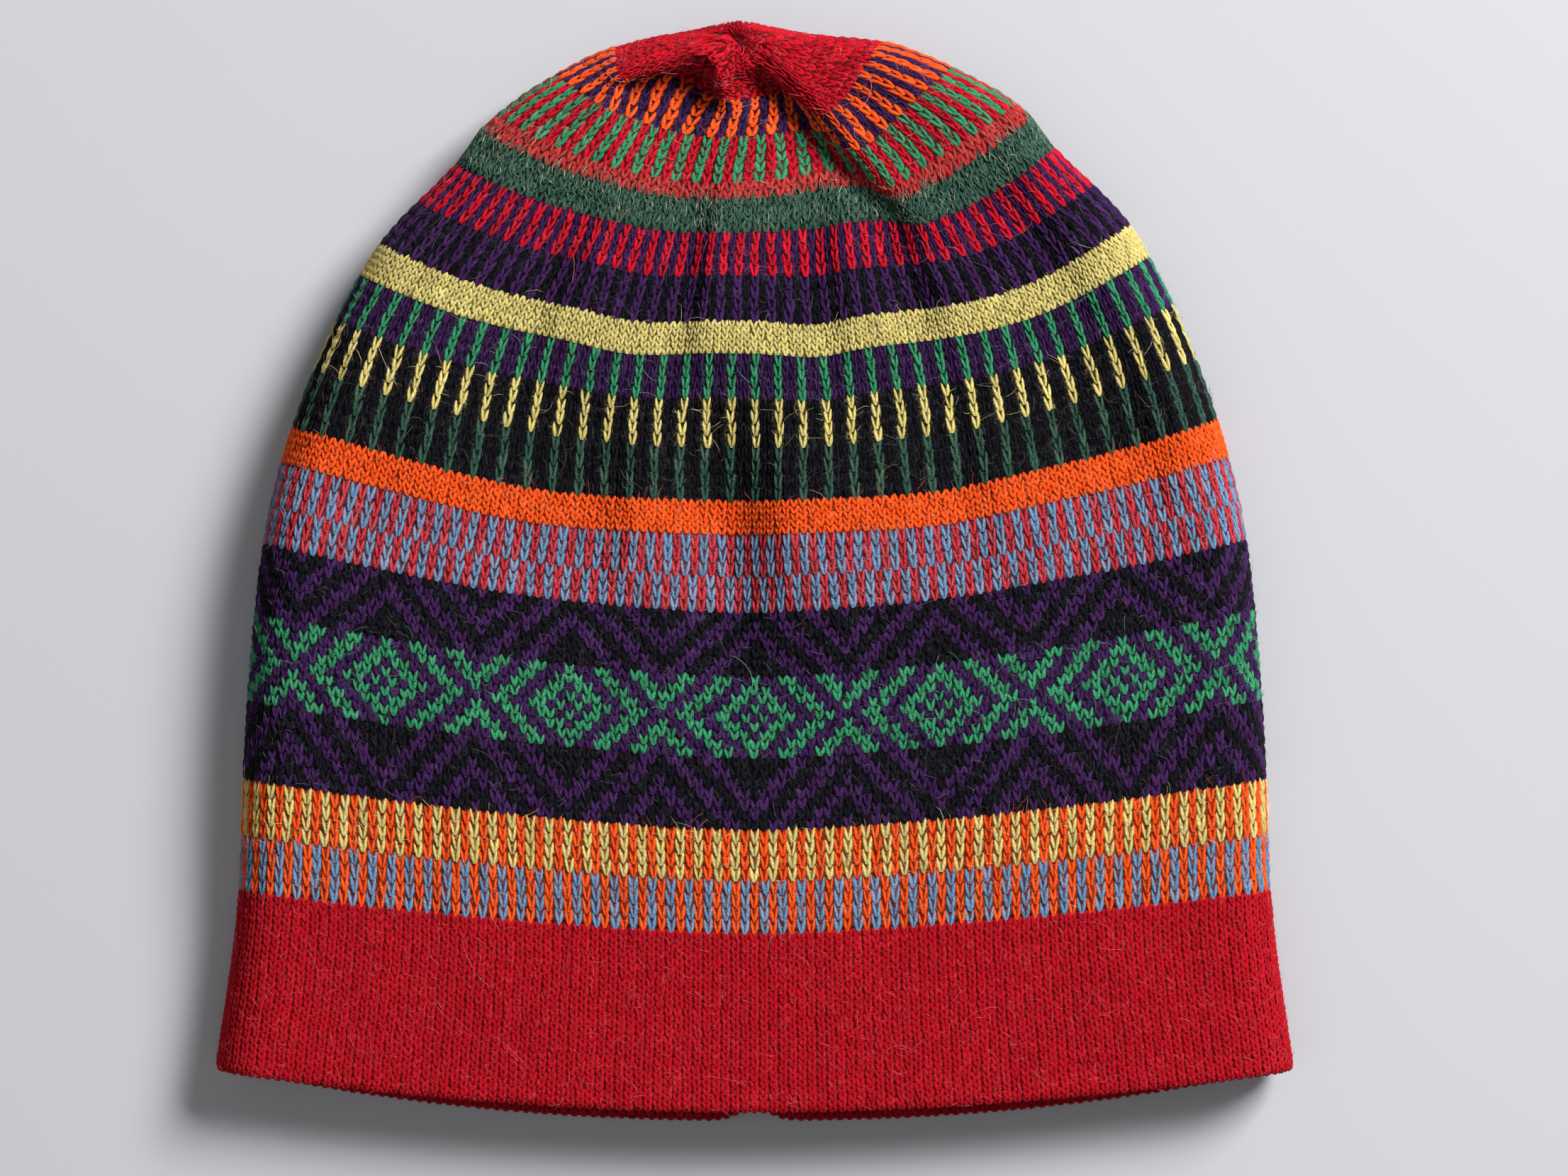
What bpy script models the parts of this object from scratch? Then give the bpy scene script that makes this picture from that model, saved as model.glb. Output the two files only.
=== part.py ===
"""Knitted beanie lying flat on its back: hem band, patterned body and gathered crown.

Metres, +Z up.  The hat rests on z = 0, its head opening faces -Y and its crown +Y.
Every surface is one skin: a table of rows from the hem's fold to the gather gives the
size of each ring of fabric, and two pleats and a lip fold the upper layer near the gather.
"""

import math

import bmesh
import bpy
import numpy as np

# Overall size of the hat as it lies
HAT_WIDTH = 0.225        # across the hem
HAT_LENGTH = 0.2307      # from the hem's lowest point to the tip of the crown
HAT_THICKNESS = 0.022    # from the surface under it to the top of the upper layer
ROLL_WIDTH = 0.010       # how far from the side the layers start to round over

# Lengths along a column of stitches.  The lower layer lies flat for the length of the hat
# and then turns up over its tip to the gather.
FABRIC_LENGTH = HAT_LENGTH + HAT_THICKNESS
HEM_HEIGHT = 0.0382      # folded hem band
CROWN_LENGTH = 0.0686    # from the crown's lowest ring to the gather

# Fabric
KNIT_THICKNESS = 0.0016  # one layer of knitting
HEM_SLOT = 0.0008        # air between the two layers of the folded hem
JOIN_GAP = 0.0004        # clearance between neighbouring pieces
NOTCH_HEIGHT = 0.0025    # small notch in the middle of the lower layer's hem
NOTCH_WIDTH = 0.0045
NOTCH_FADE = 0.010       # how far up the fabric it still shows

# Mesh fineness
COLUMNS = 80
FINE_POINTS = 160        # points on each quarter of a ring before it is evened out
HEM_RINGS = 4
FOLD_RINGS = 3
BODY_RINGS = 10
CROWN_RINGS = 16
EASE = 2.0               # columns over which a pleat's ridge is rounded, to either side
TIP_RINGS = 2            # rings that the inner skin of the gather leaves out
LAST_RING = 0.9965       # the share of FABRIC_LENGTH where the crown is closed to a point
PLEATED_WALL = 0.7       # how much the crown's inner skin leans towards its pleated outer one

# Rings of fabric from the hem's fold to the gather.  "along" is a share of FABRIC_LENGTH,
# "half_width" of half HAT_WIDTH, the y columns and "lean" of HAT_LENGTH, the z columns of
# HAT_THICKNESS and "centre_x" of HAT_WIDTH.  Side, front and back are the ring's outermost
# point, the middle of the upper layer and the middle of the lower layer; the bows are the
# powers by which the two layers curve up from the middle to the side.
RING_COLUMNS = (
    "along", "half_width", "centre_x", "side_y", "front_y", "back_y", "lean",
    "side_z", "front_z", "back_z", "front_bow", "back_bow",
)
RING_TABLE = (
    (0.0000, 1.000, 0.0000, 0.0492, 0.0119, 0.0000, 0.0000, 0.40, 0.79, -0.03, 1.9, 2.2),
    (0.1516, 0.956, 0.0000, 0.2148, 0.1762, 0.1706, 0.0000, 0.43, 0.84, -0.03, 1.5, 2.0),
    (0.2345, 0.948, 0.0000, 0.3136, 0.2677, 0.2616, 0.0000, 0.45, 0.91, -0.03, 1.5, 2.0),
    (0.3260, 0.934, 0.0000, 0.4241, 0.3682, 0.3613, 0.0009, 0.46, 0.95, -0.03, 1.6, 2.0),
    (0.4180, 0.909, 0.0000, 0.5334, 0.4684, 0.4610, 0.0022, 0.47, 0.98, -0.03, 1.6, 2.0),
    (0.4920, 0.867, 0.0000, 0.6196, 0.5494, 0.5412, 0.0035, 0.47, 0.98, -0.03, 1.7, 2.0),
    (0.6390, 0.711, 0.0000, 0.7939, 0.7111, 0.7016, 0.0087, 0.46, 0.96, -0.03, 2.1, 2.0),
    (0.7286, 0.542, 0.0000, 0.8836, 0.8104, 0.7991, 0.0078, 0.44, 0.93, -0.03, 2.1, 2.0),
    (0.7540, 0.502, 0.0000, 0.9096, 0.8377, 0.8273, 0.0069, 0.43, 0.93, -0.03, 2.1, 2.0),
    (0.8160, 0.373, -0.002, 0.9520, 0.8830, 0.8944, 0.0043, 0.41, 0.92, -0.02, 2.3, 2.0),
    (0.8690, 0.244, -0.005, 0.9781, 0.9210, 0.9520, 0.0022, 0.40, 0.90, 0.04, 2.5, 1.8),
    (0.9365, 0.115, -0.014, 0.9860, 0.9480, 0.9985, 0.0000, 0.52, 0.89, 0.42, 1.8, 1.3),
    (0.9720, 0.050, -0.013, 0.9850, 0.9640, 0.9930, 0.0000, 0.69, 0.84, 0.71, 1.5, 1.2),
    (1.0000, 0.004, -0.011, 0.9772, 0.9750, 0.9790, 0.0000, 0.75, 0.75, 0.76, 1.5, 1.5),
)

# Pleats of the upper layer near the gather, as shares of HAT_WIDTH, with "drop" and "bulge"
# as shares of HAT_THICKNESS.  "x" and "y" place the ridge's start from the gather and
# "heading" is its direction in degrees.  "side" is 1 where the fabric on the left of the
# ridge is tucked under it, and -1 where that on the right is.  That fabric loses "hidden" in
# the fold, which fades over "spread", and lies lower by "drop", which fades over "recovers".
# The ridge itself bulges and reaches further out by "lobe".  The fold ends at x = "edge".
PLEAT_COLUMNS = (
    "x", "y", "heading", "side", "hidden", "spread", "drop", "recovers",
    "rises_over", "holds_to", "ends_at", "lobe", "bulge", "edge",
)
PLEAT_TABLE = (
    (0.0116, -0.0093, -49.0, -1, 0.022, 0.071, 0.26, 0.050, 0.027, 0.124, 0.262, 0.026, 0.055, 9.0),
    (-0.0044, -0.0053, -163.0, 1, 0.027, 0.044, 0.30, 0.031, 0.036, 0.080, 0.138, 0.029, 0.045, -0.038),
)
PLEAT_SOFTNESS = 0.22    # rounding of a pleat's foot, as a share of the fabric that it hides
CREST_PLACE = 0.6        # where a ridge bulges most and how widely, as shares of that fabric
CREST_WIDTH = 0.6
CREST_FOOT = 0.010       # how soon the bulge ends on the tucked side
LOBE_WIDTH = 0.053       # how far the lobe reaches back from its ridge
LOBE_FOOT = 0.009        # how soon the lobe ends on the tucked side
EDGE_WIDTH = 0.020       # width of the step where a fold ends

# Lip of fabric in front of the gather and the puckers round it, as shares of the same sizes,
# with its heading and spread in degrees
LIP_RADIUS = 0.038
LIP_WIDTH = 0.0116
LIP_DEPTH = 0.12
LIP_HEADING = -80.0
LIP_SPREAD = 28.0
PUCKER_COUNT = 13
PUCKER_RADIUS = 0.027
PUCKER_WIDTH = 0.018
PUCKER_FOOT = 0.013      # radius within which the puckers fade towards the gather
PUCKER_HEIGHT = 0.023

# Colours sampled by eye, linear-light red, green, blue
HEM_RED = (0.44, 0.010, 0.022, 1.0)
BODY_PURPLE = (0.050, 0.015, 0.090, 1.0)
CROWN_RED = (0.47, 0.014, 0.020, 1.0)


def ring_values(along):
    """Value of every table column at the shares `along`, with smooth monotone curves."""
    table = np.array(RING_TABLE)
    knots = table[:, 0]
    step = np.diff(knots)
    values = {}
    for index, name in enumerate(RING_COLUMNS):
        data = table[:, index]
        slope = np.diff(data) / step
        tangent = np.empty_like(data)
        tangent[0] = slope[0]
        tangent[-1] = slope[-1]
        product = slope[:-1] * slope[1:]
        mean = 2.0 * product / np.where(slope[:-1] + slope[1:] == 0.0, 1.0, slope[:-1] + slope[1:])
        tangent[1:-1] = np.where(product > 0.0, mean, 0.0)
        cell = np.clip(np.searchsorted(knots, along, side="right") - 1, 0, len(knots) - 2)
        u = (along - knots[cell]) / step[cell]
        values[name] = (
            (2 * u**3 - 3 * u**2 + 1) * data[cell]
            + (u**3 - 2 * u**2 + u) * step[cell] * tangent[cell]
            + (3 * u**2 - 2 * u**3) * data[cell + 1]
            + (u**3 - u**2) * step[cell] * tangent[cell + 1]
        )
    return values


def smooth_step(value):
    """0 below 0, 1 above 1, smooth between."""
    clipped = np.clip(value, 0.0, 1.0)
    return clipped * clipped * (3.0 - 2.0 * clipped)


def gather_point():
    """Plan position of the gather."""
    tip = ring_values(np.array([1.0]))
    x = float(tip["centre_x"][0]) * HAT_WIDTH
    y = (float(tip["front_y"][0]) - 0.5) * HAT_LENGTH
    return x, y


def fold_pleat(pleat, x, y, z, upper):
    """Fold the upper layer under itself along one ridge."""
    gather_x, gather_y = gather_point()
    heading = math.radians(pleat["heading"])
    ridge_x, ridge_y = math.cos(heading), math.sin(heading)
    side_x, side_y = -pleat["side"] * ridge_y, pleat["side"] * ridge_x
    from_x = (x - gather_x) / HAT_WIDTH - pleat["x"]
    from_y = (y - gather_y) / HAT_WIDTH - pleat["y"]
    along = from_x * ridge_x + from_y * ridge_y
    across = from_x * side_x + from_y * side_y
    under = np.maximum(across, 0.0)
    outer = np.maximum(-across, 0.0)
    fade = (along - pleat["holds_to"]) / (pleat["ends_at"] - pleat["holds_to"])
    size = smooth_step(along / pleat["rises_over"]) * (1.0 - smooth_step(fade)) * upper
    edge = pleat["edge"] * HAT_WIDTH + gather_x - x
    size_under = size * smooth_step(edge / (EDGE_WIDTH * HAT_WIDTH) + 0.5)
    hidden = pleat["hidden"] * size_under
    soft = PLEAT_SOFTNESS * hidden
    start = 0.5 * (np.sqrt(hidden**2 + soft**2) - hidden)
    moved = under - hidden * np.exp(-((under / pleat["spread"]) ** 2))
    moved = 0.5 * (moved + np.sqrt(moved**2 + soft**2)) - start
    shift = np.where(across > 0.0, moved - under, 0.0)
    past = np.maximum(under - pleat["hidden"], 0.0)
    fall = smooth_step(under / pleat["hidden"]) * np.exp(-past / pleat["recovers"])
    crest = (outer / pleat["hidden"] - CREST_PLACE) / CREST_WIDTH
    rise = np.exp(-(crest**2)) * (1.0 - smooth_step(under / CREST_FOOT))
    lobe = np.exp(-((outer / LOBE_WIDTH) ** 2)) * np.exp(-under / LOBE_FOOT)
    reach = pleat["lobe"] * size * lobe
    x = x + HAT_WIDTH * (shift * side_x + reach * ridge_x)
    y = y + HAT_WIDTH * (shift * side_y + reach * ridge_y)
    z = z + HAT_THICKNESS * (pleat["bulge"] * size * rise - pleat["drop"] * size_under * fall)
    return x, y, z


def gathered(x, y, z, upper):
    """Press in the dip under the lip before the gather and raise the puckers round it."""
    gather_x, gather_y = gather_point()
    radius = np.hypot(x - gather_x, y - gather_y) / HAT_WIDTH
    angle = np.arctan2(y - gather_y, x - gather_x)
    sector = np.exp(-(((np.degrees(angle) - LIP_HEADING) / LIP_SPREAD) ** 2))
    dip = LIP_DEPTH * sector * np.exp(-(((radius - LIP_RADIUS) / LIP_WIDTH) ** 2))
    ring = np.exp(-(((radius - PUCKER_RADIUS) / PUCKER_WIDTH) ** 2))
    ring = ring * np.minimum(radius / PUCKER_FOOT, 1.0)
    pucker = PUCKER_HEIGHT * np.cos(PUCKER_COUNT * angle) * ring
    return z + HAT_THICKNESS * upper * (pucker - dip)


def fine_ring(along):
    """Dense closed rings, one per value of `along`, before and after the pleats are folded.

    Each ring starts in the middle of its upper layer.  It has a flat upper and lower layer
    and rolled sides, and "lift" runs from 1 on the upper layer to -1 on the lower one.
    """
    ring = {name: value[:, None] for name, value in ring_values(along).items()}
    half = ring["half_width"] * HAT_WIDTH / 2.0
    roll = np.minimum(ROLL_WIDTH, half)
    quarter = np.linspace(0.0, 1.0, FINE_POINTS, endpoint=False)[None, :]
    turn = quarter * math.pi / 2.0
    level = np.ones_like(half * quarter)
    offset = np.concatenate((
        (half - roll) * quarter, half - roll + roll * np.sin(turn),
        half - roll + roll * np.cos(turn), (half - roll) * (1.0 - quarter), 0.0 * half,
    ), axis=1)
    lift = np.concatenate((
        level, np.cos(turn) * level, -np.sin(turn) * level, -level, -level[:, :1],
    ), axis=1)
    offset = np.concatenate((offset, -offset[:, -2:0:-1]), axis=1)
    lift = np.concatenate((lift, lift[:, -2:0:-1]), axis=1)
    share = np.abs(offset) / half
    front = lift >= 0.0
    bow = np.where(front, ring["front_bow"], ring["back_bow"])
    middle_y = np.where(front, ring["front_y"], ring["back_y"])
    middle_z = np.where(front, ring["front_z"], ring["back_z"])
    y_share = middle_y + (ring["side_y"] - middle_y) * share**bow + ring["lean"] * offset / half
    x = ring["centre_x"] * HAT_WIDTH + offset
    y = (y_share - 0.5) * HAT_LENGTH
    z = (ring["side_z"] + (middle_z - ring["side_z"]) * np.abs(lift)) * HAT_THICKNESS
    notch = NOTCH_HEIGHT * np.exp(-((x / NOTCH_WIDTH) ** 2)) * np.clip(-lift, 0.0, 1.0)
    y = y + notch * np.exp(-((ring["along"] * FABRIC_LENGTH / NOTCH_FADE) ** 2))
    smooth = np.stack((x, y, z), axis=-1)
    upper = np.clip(lift, 0.0, 1.0)
    for row in PLEAT_TABLE:
        x, y, z = fold_pleat(dict(zip(PLEAT_COLUMNS, row)), x, y, z, upper)
    z = gathered(x, y, z, upper)
    return smooth, np.stack((x, y, z), axis=-1)


def skin(along):
    """Outer surface of the fabric, evenly spread round each ring, and the same unpleated.

    The pleats are averaged over the stretch between neighbouring columns, so that their
    ridges stay rounded at any fineness.
    """
    smooth, folded = fine_ring(np.asarray(along))
    smooth = np.concatenate((smooth, smooth[:, :1]), axis=1)
    folded = np.concatenate((folded, folded[:, :1]), axis=1)
    length = np.cumsum(np.linalg.norm(np.diff(smooth, axis=1), axis=2), axis=1)
    share = np.arange(COLUMNS) / COLUMNS
    plain = np.empty((len(folded), COLUMNS, 3))
    pleated = np.empty_like(plain)
    for index, ring in enumerate(smooth):
        reached = np.concatenate(([0.0], length[index])) / length[index, -1]
        moved = folded[index] - ring
        for axis in range(3):
            plain[index, :, axis] = np.interp(share, reached, ring[:, axis])
            middle = (moved[1:, axis] + moved[:-1, axis]) / 2.0
            total = np.concatenate(([0.0], np.cumsum(middle * np.diff(reached))))
            ends = []
            for end in (share - EASE / COLUMNS, share + EASE / COLUMNS):
                turns = np.floor(end)
                ends.append(np.interp(end - turns, reached, total) + turns * total[-1])
            mean = (ends[1] - ends[0]) * COLUMNS / (2.0 * EASE)
            pleated[index, :, axis] = plain[index, :, axis] + mean
    pleated[..., 2] = np.maximum(pleated[..., 2], 0.0)
    return pleated, plain


def inward(grid):
    """Unit vectors that point from a skin into the fabric."""
    around = np.roll(grid, -1, axis=1) - np.roll(grid, 1, axis=1)
    up = np.gradient(grid, axis=0)
    normal = np.cross(up, around)
    return normal / np.linalg.norm(normal, axis=2, keepdims=True)


def sheet_mesh(name, grid, tips):
    """Mesh of a grid of closed rings, its first and last ring closed to a point if `tips`."""
    mesh = bpy.data.meshes.new(name)
    form = bmesh.new()
    corners = [[form.verts.new(point) for point in ring] for ring in grid]
    after = [(index + 1) % COLUMNS for index in range(COLUMNS)]
    for low, high in zip(corners[:-1], corners[1:]):
        for index in range(COLUMNS):
            form.faces.new((low[index], low[after[index]], high[after[index]], high[index]))
    if tips:
        first = form.verts.new(grid[0].mean(axis=0))
        last = form.verts.new(grid[-1].mean(axis=0))
        for index in range(COLUMNS):
            form.faces.new((first, corners[0][after[index]], corners[0][index]))
            form.faces.new((corners[-1][index], corners[-1][after[index]], last))
    for face in form.faces:
        face.smooth = True
    form.to_mesh(mesh)
    form.free()
    return mesh


def knit_piece(name, mesh, colour, collection):
    """Object of a knitted mesh in its own matt material."""
    piece = bpy.data.objects.new(name, mesh)
    collection.objects.link(piece)
    material = bpy.data.materials.new(name + "_knit")
    material.use_nodes = True
    shader = material.node_tree.nodes["Principled BSDF"]
    shader.inputs["Base Color"].default_value = colour
    shader.inputs["Roughness"].default_value = 0.9
    material.diffuse_color = colour
    piece.data.materials.append(material)
    return piece


def thicken(piece):
    """Give an open sheet the thickness of one layer of knitting, on its inner side."""
    layer = piece.modifiers.new("fabric", "SOLIDIFY")
    layer.thickness = KNIT_THICKNESS
    layer.offset = -1.0
    layer.use_even_offset = True
    layer.use_rim = True


def hem_band(collection):
    """Folded hem: a sheet from the top of its inner layer down, round the fold and up."""
    fold = KNIT_THICKNESS + HEM_SLOT / 2.0
    top = (HEM_HEIGHT - JOIN_GAP / 2.0) / FABRIC_LENGTH
    outer = skin(np.linspace(fold / FABRIC_LENGTH, top, HEM_RINGS))[0]
    inner = outer + inward(outer) * 2.0 * fold
    down = outer[0] - outer[1]
    down = down / np.linalg.norm(down, axis=1, keepdims=True)
    middle = (outer[0] + inner[0]) / 2.0
    turns = np.linspace(math.pi, 0.0, FOLD_RINGS + 2)[1:-1]
    radius = outer[0] - middle
    rings = [middle + math.cos(turn) * radius + math.sin(turn) * fold * down for turn in turns]
    grid = np.concatenate((inner[::-1], np.array(rings), outer), axis=0)
    thicken(knit_piece("hem_band", sheet_mesh("hem_band", grid, False), HEM_RED, collection))


def body(collection):
    """Tube of one layer between the hem and the crown."""
    gap = JOIN_GAP / 2.0
    low = (HEM_HEIGHT + gap) / FABRIC_LENGTH
    high = 1.0 - (CROWN_LENGTH + gap) / FABRIC_LENGTH
    grid = skin(np.linspace(low, high, BODY_RINGS))[0]
    thicken(knit_piece("body", sheet_mesh("body", grid, False), BODY_PURPLE, collection))


def crown(collection):
    """Gathered top, lofted between its two skins: in the pleats a Solidify would cross itself."""
    low = 1.0 - (CROWN_LENGTH - JOIN_GAP / 2.0) / FABRIC_LENGTH
    outer, plain = skin(np.linspace(low, LAST_RING, CROWN_RINGS))
    depth = inward(plain) + PLEATED_WALL * inward(outer)
    depth = depth * KNIT_THICKNESS / np.linalg.norm(depth, axis=2, keepdims=True)
    inner = (outer + depth)[:-TIP_RINGS]
    grid = np.concatenate((inner[::-1], outer), axis=0)
    knit_piece("crown", sheet_mesh("crown", grid, True), CROWN_RED, collection)


def main():
    """Build the three pieces."""
    for item in list(bpy.data.objects):
        bpy.data.objects.remove(item)
    collection = bpy.data.collections.new("beanie")
    bpy.context.scene.collection.children.link(collection)
    hem_band(collection)
    body(collection)
    crown(collection)


main()
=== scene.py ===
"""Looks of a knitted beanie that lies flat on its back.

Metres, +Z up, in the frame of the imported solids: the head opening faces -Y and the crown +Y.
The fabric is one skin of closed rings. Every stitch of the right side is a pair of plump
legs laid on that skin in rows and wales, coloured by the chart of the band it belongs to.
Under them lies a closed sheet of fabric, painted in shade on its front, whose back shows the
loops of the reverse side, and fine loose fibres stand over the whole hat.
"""

from __future__ import annotations

import logging
import math
from dataclasses import dataclass, field, fields
from enum import Enum

import bpy
import numpy as np
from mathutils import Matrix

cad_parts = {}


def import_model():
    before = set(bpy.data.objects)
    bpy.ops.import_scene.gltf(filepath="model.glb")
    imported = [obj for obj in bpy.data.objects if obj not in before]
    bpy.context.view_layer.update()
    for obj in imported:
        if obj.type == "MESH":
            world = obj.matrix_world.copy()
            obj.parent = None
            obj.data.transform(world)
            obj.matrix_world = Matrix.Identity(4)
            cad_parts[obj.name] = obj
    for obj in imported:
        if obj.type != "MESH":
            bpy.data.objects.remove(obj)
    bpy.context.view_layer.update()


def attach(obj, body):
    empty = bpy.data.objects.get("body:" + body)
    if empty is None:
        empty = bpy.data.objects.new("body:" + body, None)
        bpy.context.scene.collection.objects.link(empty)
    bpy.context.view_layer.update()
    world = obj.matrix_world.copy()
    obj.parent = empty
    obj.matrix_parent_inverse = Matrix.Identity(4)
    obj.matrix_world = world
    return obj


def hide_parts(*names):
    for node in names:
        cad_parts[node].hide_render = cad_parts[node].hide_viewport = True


LOG = logging.getLogger("beanie")
MM = 0.001
Array = np.ndarray
Colour = tuple[float, float, float]


def linear(red: int, green: int, blue: int) -> Colour:
    """Turn a screen colour into linear light.

    A value v up to 0.04045 is divided by 12.92, and above it ((v + 0.055) / 1.055)^2.4.

    Args:
        red: Red from 0 to 255.
        green: Green from 0 to 255.
        blue: Blue from 0 to 255.

    Returns:
        The three linear values from 0 to 1.
    """
    values = (channel / 255.0 for channel in (red, green, blue))
    return tuple(v / 12.92 if v <= 0.04045 else ((v + 0.055) / 1.055) ** 2.4 for v in values)


def smooth_step(value: Array) -> Array:
    """Return 0 below 0, 1 above 1 and the cubic 3t^2 - 2t^3 between."""
    clipped = np.clip(value, 0.0, 1.0)
    return clipped * clipped * (3.0 - 2.0 * clipped)


def unit(vectors: Array) -> Array:
    """Return the vectors on the last axis at length one."""
    return vectors / np.maximum(np.linalg.norm(vectors, axis=-1, keepdims=True), 1e-12)


# Yarns, charts and stitches


@dataclass(frozen=True)
class Dye:
    """Colours of one yarn.

    Attributes:
        main: Colour of most fibres.
        ply: Paler or other fibres spun in with them.
        fleck: Colour of the loose fibres that stand out.
        heather: How strongly the main and ply colours are mixed, from 0 to 1.
    """

    main: Colour
    ply: Colour
    fleck: Colour
    heather: float


class Yarn(Enum):
    """The yarns of the hat."""

    HEM_RED = Dye(linear(164, 6, 22), linear(178, 24, 38), linear(226, 110, 116), 0.45)
    RED = Dye(linear(182, 7, 31), linear(198, 32, 52), linear(230, 120, 120), 0.40)
    CROWN_RED = Dye(linear(178, 5, 25), linear(196, 26, 44), linear(228, 110, 112), 0.45)
    ORANGE = Dye(linear(240, 74, 16), linear(248, 106, 46), linear(250, 170, 120), 0.35)
    YELLOW = Dye(linear(200, 182, 102), linear(218, 204, 138), linear(238, 228, 180), 0.40)
    PURPLE = Dye(linear(47, 19, 62), linear(71, 39, 90), linear(130, 104, 150), 0.60)
    BLACK = Dye(linear(13, 11, 17), linear(28, 26, 34), linear(110, 106, 100), 0.45)
    GREEN = Dye(linear(36, 120, 80), linear(74, 156, 112), linear(130, 200, 160), 0.50)
    FOREST = Dye(linear(17, 55, 46), linear(66, 94, 78), linear(142, 144, 116), 1.0)
    BLUE = Dye(linear(68, 124, 160), linear(132, 146, 174), linear(180, 200, 214), 1.0)
    ROSE = Dye(linear(190, 28, 40), linear(188, 76, 84), linear(206, 150, 160), 0.85)
    SALMON = Dye(linear(158, 24, 30), linear(184, 70, 64), linear(212, 140, 120), 0.90)


# Wales from one diamond to the next, and the rings of the diamonds and zigzags that are in
# the figure's yarn. A zigzag's rings count in fours, and start at the ninth.
REPEAT = 20
DIAMOND_RINGS = (1, 3, 4, 7, 8, 11, 12)
ZIGZAG_RINGS = (1, 2)
ZIGZAG_CYCLE = 4
ZIGZAG_START = 9


class Chart(Enum):
    """How a band's two yarns are set out over its wales and rows."""

    PLAIN = "plain"
    ALTERNATE = "every second wale"
    THIRD = "every third wale"
    ZIGZAG = "zigzag"
    DIAMOND = "diamond"

    def figured(self, wale: Array, row: Array) -> Array:
        """Tell which stitches are in the figure's yarn.

        A zigzag and a diamond count from the middle of the repeat: c wales sideways and k
        rows up or down, and their rings are the stitches of equal c + k.

        Args:
            wale: Whole numbers of the wales, 0 in the middle of the front.
            row: Whole numbers of the rows, counted as the band's `first` says.

        Returns:
            True for the figure's yarn.
        """
        wale, row = np.broadcast_arrays(wale, row)
        if self is Chart.PLAIN:
            return np.zeros(wale.shape, dtype=bool)
        if self is Chart.ALTERNATE:
            return wale % 2 == 0
        if self is Chart.THIRD:
            return wale % 3 == 0
        half = REPEAT // 2
        ring = np.abs((wale + half) % REPEAT - half) + np.abs(row)
        if self is Chart.DIAMOND:
            return np.isin(ring, DIAMOND_RINGS)
        return np.isin(ring % ZIGZAG_CYCLE, ZIGZAG_RINGS) & (ring >= ZIGZAG_START)


@dataclass(frozen=True)
class Stitch:
    """Form of one stitch, as shares of a wale's width and a row's height.

    Attributes:
        foot: How far each leg starts from the wale's middle.
        spread: How far it ends from it.
        flare: Power by which it gets there: below 1 the legs part early, as in a loop.
        reach: Length of the leg along the wale, more than 1 where it goes under the next.
        width: Width of the leg at its fullest.
        height: How far the leg stands over the sheet, in metres.
        wander: How unevenly the stitches lie.
        relief: How much prouder and wider the figure's stitches are than the ground's.
        tuck: How far each leg comes back towards the middle at its end.
    """

    foot: float
    spread: float
    flare: float
    reach: float
    width: float
    height: float
    wander: float
    relief: float = 0.0
    tuck: float = 0.0


class Style(Enum):
    """The stitch forms of the hat."""

    HEM = Stitch(0.09, 0.35, 0.9, 1.36, 0.46, 0.42 * MM, 0.03)
    PLAIN = Stitch(0.06, 0.42, 0.9, 1.34, 0.45, 0.52 * MM, 0.06)
    CHAIN = Stitch(0.04, 0.45, 0.8, 1.27, 0.43, 0.66 * MM, 0.06, 0.20, 0.05)
    COLUMN = Stitch(0.04, 0.41, 0.8, 1.27, 0.40, 0.68 * MM, 0.07, 0.55, 0.05)
    RAISED = Stitch(0.04, 0.44, 0.8, 1.28, 0.42, 0.66 * MM, 0.07, 0.60, 0.06)
    MOSAIC = Stitch(0.05, 0.43, 0.9, 1.22, 0.46, 0.56 * MM, 0.10)
    CROWN = Stitch(0.05, 0.44, 0.8, 1.24, 0.39, 0.70 * MM, 0.09, 0.0, 0.06)


@dataclass(frozen=True)
class Band:
    """Rows of one kind of knitting.

    Attributes:
        name: Plain name of the band.
        start: Where it starts, as a share of the fabric's length from the hem's fold.
        end: Where it ends.
        rows: Number of rows.
        wales: Number of stitches round the hat.
        chart: How the two yarns are set out.
        base: Yarn of the ground.
        figure: Yarn of the figure.
        style: Form of the stitches.
        first: Chart row of the band's lowest row, and the wale that the figure counts from.
    """

    name: str
    start: float
    end: float
    rows: int
    wales: int
    chart: Chart
    base: Yarn
    figure: Yarn
    style: Style
    first: tuple[int, int] = (0, 0)

    def yarns(self, row: Array, wale: Array) -> Array:
        """Return 1 where a stitch is in the figure's yarn and 0 in the ground's."""
        return self.chart.figured(wale + self.first[1], row + self.first[0]).astype(int)

    def centred(self, wale: Array) -> Array:
        """Return wales counted from the middle of the front, so that half are negative."""
        return (wale + self.wales // 2) % self.wales - self.wales // 2

    def row_height(self) -> float:
        """Return the height of a row as a share of the fabric's length."""
        return (self.end - self.start) / self.rows


# Stitches round the hat, below and above the plain yellow stripe
ROUND = 234
UPPER_ROUND = 192

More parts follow.
